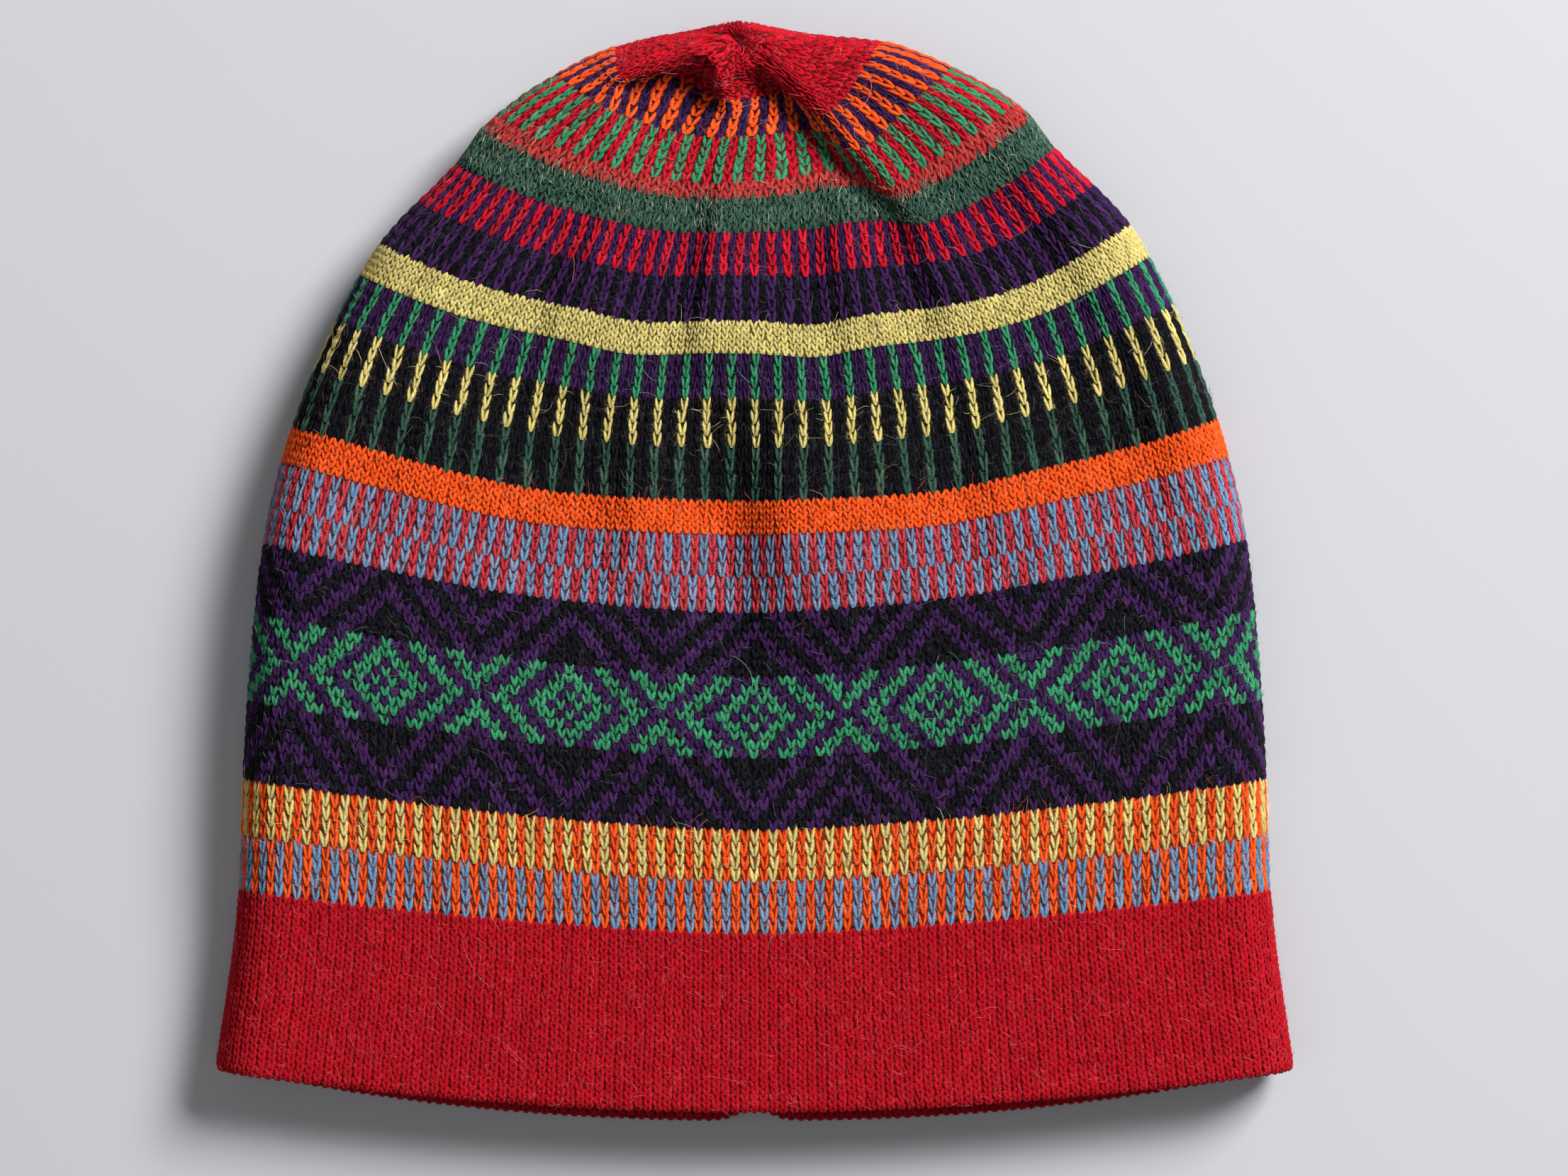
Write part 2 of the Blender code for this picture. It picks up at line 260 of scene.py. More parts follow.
HEM_BANDS = (
    Band("hem", 0.0, 0.1515, 26, ROUND, Chart.PLAIN, Yarn.HEM_RED, Yarn.HEM_RED, Style.HEM),
)
INNER_HEM_BANDS = (
    Band("hem_inside", 0.0, 0.0525, 9, ROUND, Chart.PLAIN, Yarn.HEM_RED, Yarn.HEM_RED,
         Style.HEM),
)
LOWER_BANDS = (
    Band("blue_orange", 0.1515, 0.1945, 4, ROUND, Chart.ALTERNATE, Yarn.ORANGE, Yarn.BLUE,
         Style.CHAIN, (0, 1)),
    Band("yellow_orange", 0.1945, 0.2358, 4, ROUND, Chart.ALTERNATE, Yarn.ORANGE,
         Yarn.YELLOW, Style.CHAIN),
    Band("lower_zigzag", 0.2358, 0.2948, 7, ROUND, Chart.ZIGZAG, Yarn.BLACK, Yarn.PURPLE,
         Style.MOSAIC, (-11, 0)),
)
MIDDLE_BANDS = (
    Band("diamonds", 0.2948, 0.3613, 9, ROUND, Chart.DIAMOND, Yarn.PURPLE, Yarn.GREEN,
         Style.MOSAIC, (-4, 0)),
    Band("upper_zigzag", 0.3613, 0.4145, 7, ROUND, Chart.ZIGZAG, Yarn.BLACK, Yarn.PURPLE,
         Style.MOSAIC, (5, 0)),
    Band("red_blue_low", 0.4145, 0.4443, 3, ROUND, Chart.ALTERNATE, Yarn.ROSE, Yarn.BLUE,
         Style.CHAIN, (0, 1)),
    Band("red_blue_high", 0.4443, 0.4782, 3, ROUND, Chart.ALTERNATE, Yarn.ROSE, Yarn.BLUE,
         Style.CHAIN),
)
UPPER_BANDS = (
    Band("orange", 0.4782, 0.5055, 5, ROUND, Chart.PLAIN, Yarn.ORANGE, Yarn.ORANGE,
         Style.PLAIN),
    Band("forest_columns", 0.5055, 0.5500, 4, ROUND, Chart.THIRD, Yarn.BLACK, Yarn.FOREST,
         Style.COLUMN),
    Band("yellow_columns", 0.5500, 0.5890, 4, ROUND, Chart.THIRD, Yarn.BLACK, Yarn.YELLOW,
         Style.COLUMN),
    Band("green_columns", 0.5890, 0.6256, 4, ROUND, Chart.THIRD, Yarn.PURPLE, Yarn.GREEN,
         Style.COLUMN),
    Band("yellow", 0.6256, 0.6518, 5, ROUND, Chart.PLAIN, Yarn.YELLOW, Yarn.YELLOW,
         Style.PLAIN),
)
TAPER_BANDS = (
    Band("purple_black", 0.6518, 0.6887, 4, UPPER_ROUND, Chart.ALTERNATE, Yarn.BLACK,
         Yarn.PURPLE, Style.RAISED),
    Band("red_purple", 0.6887, 0.7228, 4, UPPER_ROUND, Chart.ALTERNATE, Yarn.PURPLE,
         Yarn.RED, Style.RAISED),
)
CROWN_BANDS = (
    Band("forest", 0.7228, 0.7495, 4, 148, Chart.PLAIN, Yarn.FOREST, Yarn.FOREST,
         Style.PLAIN),
    Band("salmon", 0.7495, 0.7660, 2, 132, Chart.PLAIN, Yarn.SALMON, Yarn.SALMON,
         Style.PLAIN),
    Band("red_green", 0.7660, 0.8200, 5, 120, Chart.ALTERNATE, Yarn.RED, Yarn.GREEN,
         Style.CHAIN),
    Band("orange_purple", 0.8200, 0.8690, 5, 100, Chart.ALTERNATE, Yarn.PURPLE,
         Yarn.ORANGE, Style.RAISED, (0, 1)),
    Band("crown_low", 0.8690, 0.9060, 4, 64, Chart.PLAIN, Yarn.CROWN_RED, Yarn.CROWN_RED,
         Style.CROWN),
    Band("crown_middle", 0.9060, 0.9420, 4, 48, Chart.PLAIN, Yarn.CROWN_RED,
         Yarn.CROWN_RED, Style.CROWN),
    Band("crown_high", 0.9420, 0.9700, 3, 30, Chart.PLAIN, Yarn.CROWN_RED, Yarn.CROWN_RED,
         Style.CROWN),
    Band("crown_tip", 0.9700, 0.9960, 3, 15, Chart.PLAIN, Yarn.CROWN_RED, Yarn.CROWN_RED,
         Style.CROWN),
)


# Form of the hat


@dataclass(frozen=True)
class Ring:
    """One ring of fabric, as shares of the hat's sizes.

    Attributes:
        along: Its place along the fabric, from the hem's fold to the gather.
        half_width: Half its width, of half the hat's width.
        centre_x: Sideways shift, of the width.
        side_y: Place of its sides, of the length.
        front_y: Place of the middle of its upper layer.
        back_y: Place of the middle of its lower layer.
        lean: How much further up the right side is than the left.
        side_z: Height of its sides, of the thickness.
        front_z: Height of the middle of its upper layer.
        back_z: Height of the middle of its lower layer.
        front_bow: Power by which the upper layer curves up to the side.
        back_bow: Power by which the lower layer does.
    """

    along: float
    half_width: float
    centre_x: float
    side_y: float
    front_y: float
    back_y: float
    lean: float
    side_z: float
    front_z: float
    back_z: float
    front_bow: float
    back_bow: float


RINGS = (
    Ring(0.0000, 1.000, 0.0000, 0.0492, 0.0119, 0.0000, 0.0000, 0.40, 0.79, -0.03, 1.9, 2.2),
    Ring(0.1516, 0.956, 0.0000, 0.2148, 0.1762, 0.1706, 0.0000, 0.43, 0.84, -0.03, 1.5, 2.0),
    Ring(0.2345, 0.948, 0.0000, 0.3136, 0.2677, 0.2616, 0.0000, 0.45, 0.91, -0.03, 1.5, 2.0),
    Ring(0.3260, 0.934, 0.0000, 0.4241, 0.3682, 0.3613, 0.0009, 0.46, 0.95, -0.03, 1.6, 2.0),
    Ring(0.4180, 0.909, 0.0000, 0.5334, 0.4684, 0.4610, 0.0022, 0.47, 0.98, -0.03, 1.6, 2.0),
    Ring(0.4920, 0.867, 0.0000, 0.6196, 0.5494, 0.5412, 0.0035, 0.47, 0.98, -0.03, 1.7, 2.0),
    Ring(0.6390, 0.711, 0.0000, 0.7939, 0.7111, 0.7016, 0.0087, 0.46, 0.96, -0.03, 2.1, 2.0),
    Ring(0.7286, 0.542, 0.0000, 0.8836, 0.8104, 0.7991, 0.0078, 0.44, 0.93, -0.03, 2.1, 2.0),
    Ring(0.7540, 0.502, 0.0000, 0.9096, 0.8377, 0.8273, 0.0069, 0.43, 0.93, -0.03, 2.1, 2.0),
    Ring(0.8160, 0.373, -0.002, 0.9520, 0.8830, 0.8944, 0.0043, 0.41, 0.92, -0.02, 2.3, 2.0),
    Ring(0.8690, 0.244, -0.005, 0.9781, 0.9210, 0.9520, 0.0022, 0.40, 0.90, 0.04, 2.5, 1.8),
    Ring(0.9365, 0.115, -0.014, 0.9860, 0.9480, 0.9985, 0.0000, 0.52, 0.89, 0.42, 1.8, 1.3),
    Ring(0.9720, 0.050, -0.013, 0.9850, 0.9640, 0.9930, 0.0000, 0.69, 0.84, 0.71, 1.5, 1.2),
    Ring(1.0000, 0.004, -0.011, 0.9772, 0.9750, 0.9790, 0.0000, 0.75, 0.75, 0.76, 1.5, 1.5),
)


@dataclass(frozen=True)
class Pleat:
    """A fold of the upper layer under itself near the gather, as shares of the hat's width.

    Attributes:
        x: Start of the ridge from the gather.
        y: Start of the ridge from the gather.
        heading: Direction of the ridge in degrees.
        side: 1 where the fabric on the ridge's left is tucked under it, -1 on its right.
        hidden: Fabric that the fold takes up.
        spread: How far from the ridge the fabric gives way.
        drop: How much lower the tucked fabric lies, of the thickness.
        recovers: How far from the ridge it rises again.
        rises_over: Length over which the fold starts.
        holds_to: Where along the ridge it starts to fade.
        ends_at: Where it has gone.
        lobe: How much further out the ridge reaches.
        bulge: How much higher the ridge is, of the thickness.
        edge: How far to the right of the gather the fold ends.
    """

    x: float
    y: float
    heading: float
    side: int
    hidden: float
    spread: float
    drop: float
    recovers: float
    rises_over: float
    holds_to: float
    ends_at: float
    lobe: float
    bulge: float
    edge: float


PLEATS = (
    Pleat(0.0116, -0.0093, -49.0, -1, 0.022, 0.071, 0.26, 0.050, 0.027, 0.124, 0.262, 0.026,
          0.085, 9.0),
    Pleat(-0.0044, -0.0053, -163.0, 1, 0.027, 0.044, 0.40, 0.031, 0.036, 0.080, 0.138, 0.029,
          0.095, -0.038),
    Pleat(-0.034, -0.008, -76.0, -1, 0.012, 0.022, 0.22, 0.020, 0.012, 0.036, 0.078, 0.004,
          0.090, 9.0),
)


@dataclass(frozen=True)
class Wave:
    """A soft ridge in the upper layer that runs along the wales, or a groove if negative.

    Attributes:
        share: Its place on the ring, from the middle of the front towards +X.
        low: Where it starts, as a share of the fabric's length.
        high: Where it ends.
        height: Its height in metres.
        left: Width of its left flank, as a share of the ring.
        right: Width of its right flank.
    """

    share: float
    low: float
    high: float
    height: float
    left: float
    right: float


WAVES = (
    Wave(0.032, 0.22, 0.80, 2.3 * MM, 0.130, 0.100),
    Wave(-0.115, 0.25, 0.76, -2.3 * MM, 0.060, 0.120),
    Wave(0.190, 0.24, 0.74, -1.2 * MM, 0.080, 0.050),
    Wave(0.019, 0.33, 0.63, 3.0 * MM, 0.018, 0.060),
    Wave(-0.016, 0.33, 0.63, -3.2 * MM, 0.045, 0.018),
    Wave(-0.060, 0.38, 0.60, 2.6 * MM, 0.014, 0.034),
    Wave(0.127, 0.38, 0.60, 2.0 * MM, 0.015, 0.042),
    Wave(0.216, 0.40, 0.62, 1.4 * MM, 0.012, 0.020),
    Wave(-0.170, 0.40, 0.62, 1.4 * MM, 0.014, 0.030),
    Wave(-0.120, 0.55, 0.80, 2.4 * MM, 0.012, 0.042),
    Wave(-0.032, 0.56, 0.82, 3.0 * MM, 0.011, 0.034),
    Wave(0.062, 0.56, 0.82, 2.2 * MM, 0.011, 0.028),
    Wave(0.122, 0.55, 0.80, 2.4 * MM, 0.012, 0.042),
    Wave(0.207, 0.55, 0.76, 1.3 * MM, 0.010, 0.020),
    Wave(-0.200, 0.55, 0.76, 1.2 * MM, 0.010, 0.020),
    Wave(-0.120, 0.02, 0.17, 0.7 * MM, 0.016, 0.040),
    Wave(0.020, 0.00, 0.18, 0.7 * MM, 0.014, 0.040),
    Wave(0.160, 0.01, 0.17, 0.7 * MM, 0.016, 0.030),
    Wave(-0.020, 0.14, 0.36, 0.8 * MM, 0.016, 0.040),
    Wave(0.110, 0.16, 0.38, 0.8 * MM, 0.016, 0.034),
    Wave(-0.140, 0.16, 0.40, 0.8 * MM, 0.016, 0.034),
)


@dataclass(frozen=True)
class Sag:
    """A place where the bands hang lower than their rings.

    Attributes:
        share: Its place on the ring, from the middle of the front towards +X.
        along: Its place along the fabric.
        fall: How much lower the bands hang, in metres.
        width: Its reach to either side, as a share of the ring.
        length: Its reach along the fabric.
    """

    share: float
    along: float
    fall: float
    width: float
    length: float


SAGS = (
    Sag(0.150, 0.690, 3.4 * MM, 0.070, 0.130),
    Sag(0.035, 0.640, 1.3 * MM, 0.022, 0.080),
    Sag(-0.072, 0.640, 1.2 * MM, 0.028, 0.080),
    Sag(-0.180, 0.650, 0.9 * MM, 0.060, 0.090),
    Sag(-0.115, 0.490, 1.7 * MM, 0.060, 0.070),
    Sag(0.092, 0.490, 1.5 * MM, 0.045, 0.070),
    Sag(0.190, 0.480, 0.7 * MM, 0.050, 0.070),
)


def outward_of(grid: Array) -> Array:
    """Return the unit directions out of a grid of rings: around x up of the neighbours."""
    around = np.roll(grid, -1, axis=1) - np.roll(grid, 1, axis=1)
    return unit(np.cross(around, np.gradient(grid, axis=0)))


@dataclass
class Surface:
    """Dense grid of the fabric's right side, from the top of the folded-in hem to the gather.

    Attributes:
        marks: Length along the fabric at each ring, 0 at the fold and negative inside it.
        grid: Points of the rings.
        back: Unit directions from the right side to the reverse side.
        outward: Unit directions out of the right side.
    """

    marks: Array
    grid: Array
    back: Array
    outward: Array = field(init=False)

    def __post_init__(self) -> None:
        """Work out the outward directions."""
        self.outward = outward_of(self.grid)

    def _blend(self, values: Array, mark: Array, share: Array) -> Array:
        """Interpolate grid values bilinearly, on rings that close on themselves.

        Args:
            values: Values at the points of the grid.
            mark: Lengths along the fabric in metres.
            share: Shares of the ring, from the middle of the front towards +X.

        Returns:
            The values between the points.
        """
        row = np.interp(mark, self.marks, np.arange(len(self.marks)))
        low = np.minimum(row.astype(int), len(self.marks) - 2)
        up = (row - low)[..., None]
        count = values.shape[1]
        turn = (share % 1.0) * count
        left = turn.astype(int) % count
        right = (left + 1) % count
        over = (turn - np.floor(turn))[..., None]
        lower = values[low, left] * (1.0 - over) + values[low, right] * over
        upper = values[low + 1, left] * (1.0 - over) + values[low + 1, right] * over
        return lower * (1.0 - up) + upper * up

    def place(self, mark: Array, share: Array, height: Array) -> Array:
        """Return points over the fabric.

        Args:
            mark: Length along the fabric in metres.
            share: Share of the ring, from the middle of the front towards +X.
            height: Metres above the skin, negative below it.

        Returns:
            Points with a last axis of three.
        """
        point = self._blend(self.grid, mark, share)
        return point + unit(self._blend(self.outward, mark, share)) * height[..., None]

    def behind(self, mark: Array, share: Array, depth: float) -> Array:
        """Return points at a depth behind the skin, towards the reverse side."""
        point = self._blend(self.grid, mark, share)
        return point + unit(self._blend(self.back, mark, share)) * depth


def between_rows(values: Array, place: Array) -> Array:
    """Interpolate each column of a grid between its rows.

    Args:
        values: Vectors at the points of the grid.
        place: For each point of the result, the row to read, with its fraction.

    Returns:
        The vectors there.
    """
    low = np.clip(place.astype(int), 0, len(values) - 2)
    column = np.arange(values.shape[1])[None, :]
    part = (place - low)[..., None]
    return values[low, column] * (1.0 - part) + values[low + 1, column] * part


@dataclass
class HatForm:
    """The hat's form: rings of fabric, pleats, waves and the puckers at the gather.

    Attributes:
        width: Width of the hem band.
        length: Length from the hem's edge to the top.
        thickness: Thickness of the hat as it lies flat.
        roll: How far from its edge the rounding of a side reaches.
        knit: Thickness of the fabric.
        hem_slot: Gap between the hem's two layers.
        notch_height: Height of the notch in the middle of the lower layer's edge.
        notch_width: Its width.
        notch_fade: How far up the fabric it fades.
        pleat_softness: How rounded a pleat's foot is, as a share of the fabric it hides.
        crest: How far behind its edge a ridge is highest, as a share of that fabric.
        crest_foot: How soon it falls off on the tucked side, of the hat's width.
        lobe_width: How far behind the edge a ridge's lobe reaches, of the width.
        lobe_foot: How soon the lobe ends on the tucked side.
        edge_width: Over what width a pleat ends at its right edge.
        lip_radius: Distance from the gather to the dip under the lip, of the width.
        lip_width: Width of the dip.
        lip_depth: Its depth, of the thickness.
        lip_heading: Its direction from the gather in degrees.
        lip_spread: Its reach to either side in degrees.
        puckers: Number of puckers round the gather.
        pucker_radius: Distance from the gather at which they are highest, of the width.
        pucker_width: How soon they fade from there.
        pucker_height: Their height, of the thickness.
        pucker_foot: Distance within which they level out towards the gather.
        last_ring: Share of the fabric at its last ring.
        fine_points: Points on each eighth of a dense ring.
        ease: Share of the ring over which the folds are averaged, to either side.
        pleated_wall: Weight of the folded skin's direction in the wall's own.
        ring_share: About how many of its half widths a ring is long.
    """

    width: float = 0.225
    length: float = 0.2307
    thickness: float = 0.022
    roll: float = 0.010
    knit: float = 1.6 * MM
    hem_slot: float = 0.8 * MM
    notch_height: float = 0.0025
    notch_width: float = 0.0045
    notch_fade: float = 0.010
    pleat_softness: float = 0.22
    crest: float = 0.6
    crest_foot: float = 0.010
    lobe_width: float = 0.053
    lobe_foot: float = 0.009
    edge_width: float = 0.020
    lip_radius: float = 0.038
    lip_width: float = 0.0116
    lip_depth: float = 0.12
    lip_heading: float = -80.0
    lip_spread: float = 28.0
    puckers: int = 13
    pucker_radius: float = 0.027
    pucker_width: float = 0.018
    pucker_height: float = 0.023
    pucker_foot: float = 0.013
    last_ring: float = 0.9965
    fine_points: int = 240
    ease: float = 0.016
    pleated_wall: float = 0.7
    ring_share: float = 4.1

    @property
    def fabric(self) -> float:
        """Length of the fabric from the fold to the gather."""
        return self.length + self.thickness

    @property
    def fold(self) -> float:
        """Radius of the hem's fold."""
        return self.knit + self.hem_slot / 2.0

    def mark(self, along: Array | float) -> Array | float:
        """Return the length along the right side at a share, with the fold's arc added."""
        return along * self.fabric + (math.pi / 2.0 - 1.0) * self.fold

    def values(self, along: Array) -> dict[str, Array]:
        """Interpolate every column of the rings.

        Each column is a cubic Hermite curve whose tangents are the harmonic means of the
        slopes on either side, and 0 at a turn, so that it never overshoots.

        Args:
            along: Shares of the fabric's length.

        Returns:
            The columns by name.
        """
        knots = np.array([ring.along for ring in RINGS])
        step = np.diff(knots)
        cell = np.clip(np.searchsorted(knots, along, side="right") - 1, 0, len(knots) - 2)
        u = (along - knots[cell]) / step[cell]
        result = {}
        for name in (column.name for column in fields(Ring)):
            data = np.array([getattr(ring, name) for ring in RINGS])
            slope = np.diff(data) / step
            product = slope[:-1] * slope[1:]
            total = slope[:-1] + slope[1:]
            mean = 2.0 * product / np.where(total == 0.0, 1.0, total)
            inner = np.where(product > 0.0, mean, 0.0)
            tangent = np.concatenate((slope[:1], inner, slope[-1:]))
            result[name] = (
                (2 * u**3 - 3 * u**2 + 1) * data[cell]
                + (u**3 - 2 * u**2 + u) * step[cell] * tangent[cell]
                + (3 * u**2 - 2 * u**3) * data[cell + 1]
                + (u**3 - u**2) * step[cell] * tangent[cell + 1]
            )
        return result

    def gather(self) -> tuple[float, float]:
        """Return the plan position of the gather."""
        tip = RINGS[-1]
        return tip.centre_x * self.width, (tip.front_y - 0.5) * self.length

    def _pleated(
        self, pleat: Pleat, x: Array, y: Array, z: Array, upper: Array
    ) -> tuple[Array, Array, Array]:
        """Fold the upper layer under itself along one ridge.

        The fabric on the tucked side moves towards the ridge by what the fold hides, which
        fades with a Gaussian of the distance. It stops at the ridge with a rounded foot,
        drops there and recovers exponentially.

        Args:
            pleat: The fold.
            x: Places of the points before it is folded.
            y: Places of the points.
            z: Heights of the points.
            upper: 1 on the upper layer and 0 on the lower one.

        Returns:
            The places and heights after it is folded.
        """
        gather_x, gather_y = self.gather()
        heading = math.radians(pleat.heading)
        ridge_x, ridge_y = math.cos(heading), math.sin(heading)
        side_x, side_y = -pleat.side * ridge_y, pleat.side * ridge_x
        from_x = (x - gather_x) / self.width - pleat.x
        from_y = (y - gather_y) / self.width - pleat.y
        along = from_x * ridge_x + from_y * ridge_y
        across = from_x * side_x + from_y * side_y
        under = np.maximum(across, 0.0)
        outer = np.maximum(-across, 0.0)
        fade = (along - pleat.holds_to) / (pleat.ends_at - pleat.holds_to)
        size = smooth_step(along / pleat.rises_over) * (1.0 - smooth_step(fade)) * upper
        edge = pleat.edge * self.width + gather_x - x
        size_under = size * smooth_step(edge / (self.edge_width * self.width) + 0.5)
        hidden = pleat.hidden * size_under
        soft = self.pleat_softness * hidden
        start = 0.5 * (np.sqrt(hidden**2 + soft**2) - hidden)
        moved = under - hidden * np.exp(-((under / pleat.spread) ** 2))
        moved = 0.5 * (moved + np.sqrt(moved**2 + soft**2)) - start
        shift = np.where(across > 0.0, moved - under, 0.0)
        past = np.maximum(under - pleat.hidden, 0.0)
        fall = smooth_step(under / pleat.hidden) * np.exp(-past / pleat.recovers)
        crest = (outer / pleat.hidden - self.crest) / self.crest
        rise = np.exp(-(crest**2)) * (1.0 - smooth_step(under / self.crest_foot))
        lobe = np.exp(-((outer / self.lobe_width) ** 2)) * np.exp(-under / self.lobe_foot)
        reach = pleat.lobe * size * lobe
        x = x + self.width * (shift * side_x + reach * ridge_x)
        y = y + self.width * (shift * side_y + reach * ridge_y)
        z = z + self.thickness * (pleat.bulge * size * rise - pleat.drop * size_under * fall)
        return x, y, z

    def _gathered(self, x: Array, y: Array, z: Array, upper: Array) -> Array:
        """Press in the dip under the lip before the gather and raise the puckers round it.

        The dip is a Gaussian of the distance times one of the direction, and the puckers
        are a cosine of the direction times a Gaussian of the distance.

        Args:
            x: Places of the points.
            y: Places of the points.
            z: Heights of the points.
            upper: 1 on the upper layer and 0 on the lower one.

        Returns:
            The new heights.
        """
        gather_x, gather_y = self.gather()
        radius = np.hypot(x - gather_x, y - gather_y) / self.width
        angle = np.arctan2(y - gather_y, x - gather_x)
        sector = np.exp(-(((np.degrees(angle) - self.lip_heading) / self.lip_spread) ** 2))
        lip = np.exp(-(((radius - self.lip_radius) / self.lip_width) ** 2))
        ring = np.exp(-(((radius - self.pucker_radius) / self.pucker_width) ** 2))
        ring = ring * np.minimum(radius / self.pucker_foot, 1.0)
        pucker = self.pucker_height * np.cos(self.puckers * angle) * ring
        return z + self.thickness * upper * (pucker - self.lip_depth * sector * lip)

    def _waved(self, z: Array, along: Array, share: Array, upper: Array) -> Array:
        """Raise the soft waves, each a Gaussian across and a squared sine along the fabric.

        Args:
            z: Heights of the points.
            along: Their places along the fabric.
            share: Their places on the ring, from the middle of the front towards +X.
            upper: 1 on the upper layer and 0 on the lower one.

        Returns:
            The new heights.
        """
        for wave in WAVES:
            place = share - wave.share
            place = place / np.where(place < 0.0, wave.left, wave.right)
            window = np.clip((along - wave.low) / (wave.high - wave.low), 0.0, 1.0)
            window = np.sin(math.pi * window) ** 2
            z = z + wave.height * np.exp(-(place**2)) * window * upper
        return z

    def fine_rings(self, along: Array) -> tuple[Array, Array]:
        """Return dense closed rings before and after the pleats are folded.

        A ring has a flat upper and lower layer and rolled sides that are quarters of an
        ellipse. Between the middle and the side each layer curves up by a power.

        Args:
            along: Shares of the fabric's length.

        Returns:
            The smooth rings and the folded rings, from the upper layer's middle to +X.
        """
        ring = {name: value[:, None] for name, value in self.values(along).items()}
        half = ring["half_width"] * self.width / 2.0
        roll = np.minimum(self.roll, half)
        quarter = np.linspace(0.0, 1.0, self.fine_points, endpoint=False)[None, :]
        turn = quarter * math.pi / 2.0
        level = np.ones_like(half * quarter)
        offset = np.concatenate((
            (half - roll) * quarter, half - roll + roll * np.sin(turn),
            half - roll + roll * np.cos(turn), (half - roll) * (1.0 - quarter), 0.0 * half,
        ), axis=1)
        lift = np.concatenate((
            level, np.cos(turn) * level, -np.sin(turn) * level, -level, -level[:, :1],
        ), axis=1)
        offset = np.concatenate((offset, -offset[:, -2:0:-1]), axis=1)
        lift = np.concatenate((lift, lift[:, -2:0:-1]), axis=1)
        share = np.abs(offset) / half
        front = lift >= 0.0
        bow = np.where(front, ring["front_bow"], ring["back_bow"])
        middle_y = np.where(front, ring["front_y"], ring["back_y"])
        middle_z = np.where(front, ring["front_z"], ring["back_z"])
        y_share = middle_y + (ring["side_y"] - middle_y) * share**bow
        x = ring["centre_x"] * self.width + offset
        y = (y_share + ring["lean"] * offset / half - 0.5) * self.length
        z = (ring["side_z"] + (middle_z - ring["side_z"]) * np.abs(lift)) * self.thickness
        notch = self.notch_height * np.exp(-((x / self.notch_width) ** 2))
        notch = notch * np.clip(-lift, 0.0, 1.0)
        y = y + notch * np.exp(-((ring["along"] * self.fabric / self.notch_fade) ** 2))
        upper = np.clip(lift, 0.0, 1.0)
        z = self._waved(z, ring["along"], offset / (self.ring_share * half), upper)
        smooth = np.stack((x, y, z), axis=-1)
        for pleat in PLEATS:
            x, y, z = self._pleated(pleat, x, y, z, upper)
        z = self._gathered(x, y, z, upper)
        return smooth, np.stack((x, y, z), axis=-1)

    def skin(self, along: Array, columns: int) -> tuple[Array, Array]:
        """Return the right side evenly spread round each ring, pleated and unpleated.

        The pleats' displacement is averaged over `ease` of the ring to either side, as the
        difference of its running integral, so that their ridges stay rounded.

        Args:
            along: Shares of the fabric's length.
            columns: Points on each ring.

        Returns:
            The pleated grid and the plain grid.
        """
        smooth, folded = self.fine_rings(along)
        smooth = np.concatenate((smooth, smooth[:, :1]), axis=1)
        folded = np.concatenate((folded, folded[:, :1]), axis=1)
        length = np.cumsum(np.linalg.norm(np.diff(smooth, axis=1), axis=2), axis=1)
        share = np.arange(columns) / columns
        plain = np.empty((len(folded), columns, 3))
        pleated = np.empty_like(plain)
        for index, ring in enumerate(smooth):
            reached = np.concatenate(([0.0], length[index])) / length[index, -1]
            moved = folded[index] - ring
            for axis in range(3):
                plain[index, :, axis] = np.interp(share, reached, ring[:, axis])
                middle = (moved[1:, axis] + moved[:-1, axis]) / 2.0
                total = np.concatenate(([0.0], np.cumsum(middle * np.diff(reached))))
                ends = []
                for end in (share - self.ease, share + self.ease):
                    turns = np.floor(end)
                    ends.append(np.interp(end - turns, reached, total) + turns * total[-1])
                mean = (ends[1] - ends[0]) / (2.0 * self.ease)
                pleated[index, :, axis] = plain[index, :, axis] + mean
        pleated[..., 2] = np.maximum(pleated[..., 2], 0.0)
        return pleated, plain

    def surface(
        self, rings: int = 330, columns: int = 936, inner_rings: int = 40, arc_rings: int = 9
    ) -> Surface:
        """Lay out the whole right side: the folded-in hem, the fold, and the outer fabric.

        The fold is a half circle of radius `fold` in the plane of the ring's first two
        points, and the folded-in layer is the outer one moved in by the circle's diameter.
        A sag is a Gaussian across and along: there each ring is read from a little further up.

        Args:
            rings: Rings of the outer fabric.
            columns: Points on each ring.
            inner_rings: Rings of the folded-in layer.
            arc_rings: Rings of the fold between them.

        Returns:
            The surface.
        """
        first = self.fold / self.fabric
        along = np.linspace(first, self.last_ring, rings)
        outer, plain = self.skin(along, columns)
        behind = -unit(outward_of(plain) + self.pleated_wall * outward_of(outer))
        inner_along = np.linspace(first, HEM_BANDS[0].end, inner_rings)
        near = np.interp(inner_along, along, np.arange(rings))
        near = np.broadcast_to(near[:, None], (inner_rings, columns))
        into = unit(between_rows(behind, near))
        inner = between_rows(outer, near) + into * 2.0 * self.fold
        share = (np.arange(columns) / columns + 0.5) % 1.0 - 0.5
        hang = sum(sag.fall / self.fabric * np.exp(
            -((share[None, :] - sag.share) / sag.width) ** 2
            - ((along[:, None] - sag.along) / sag.length) ** 2) for sag in SAGS)
        pick = np.interp(along[:, None] - hang, along, np.arange(rings))
        outer, behind = between_rows(outer, pick), between_rows(behind, pick)
        down = unit(outer[0] - outer[1])
        middle = (outer[0] + inner[0]) / 2.0
        radius = outer[0] - middle
        turns = np.linspace(math.pi, 0.0, arc_rings + 2)[1:-1]
        arcs = np.stack([
            middle + math.cos(t) * radius + math.sin(t) * self.fold * down for t in turns])
        arc_back = np.stack([-unit(arc - middle) for arc in arcs])
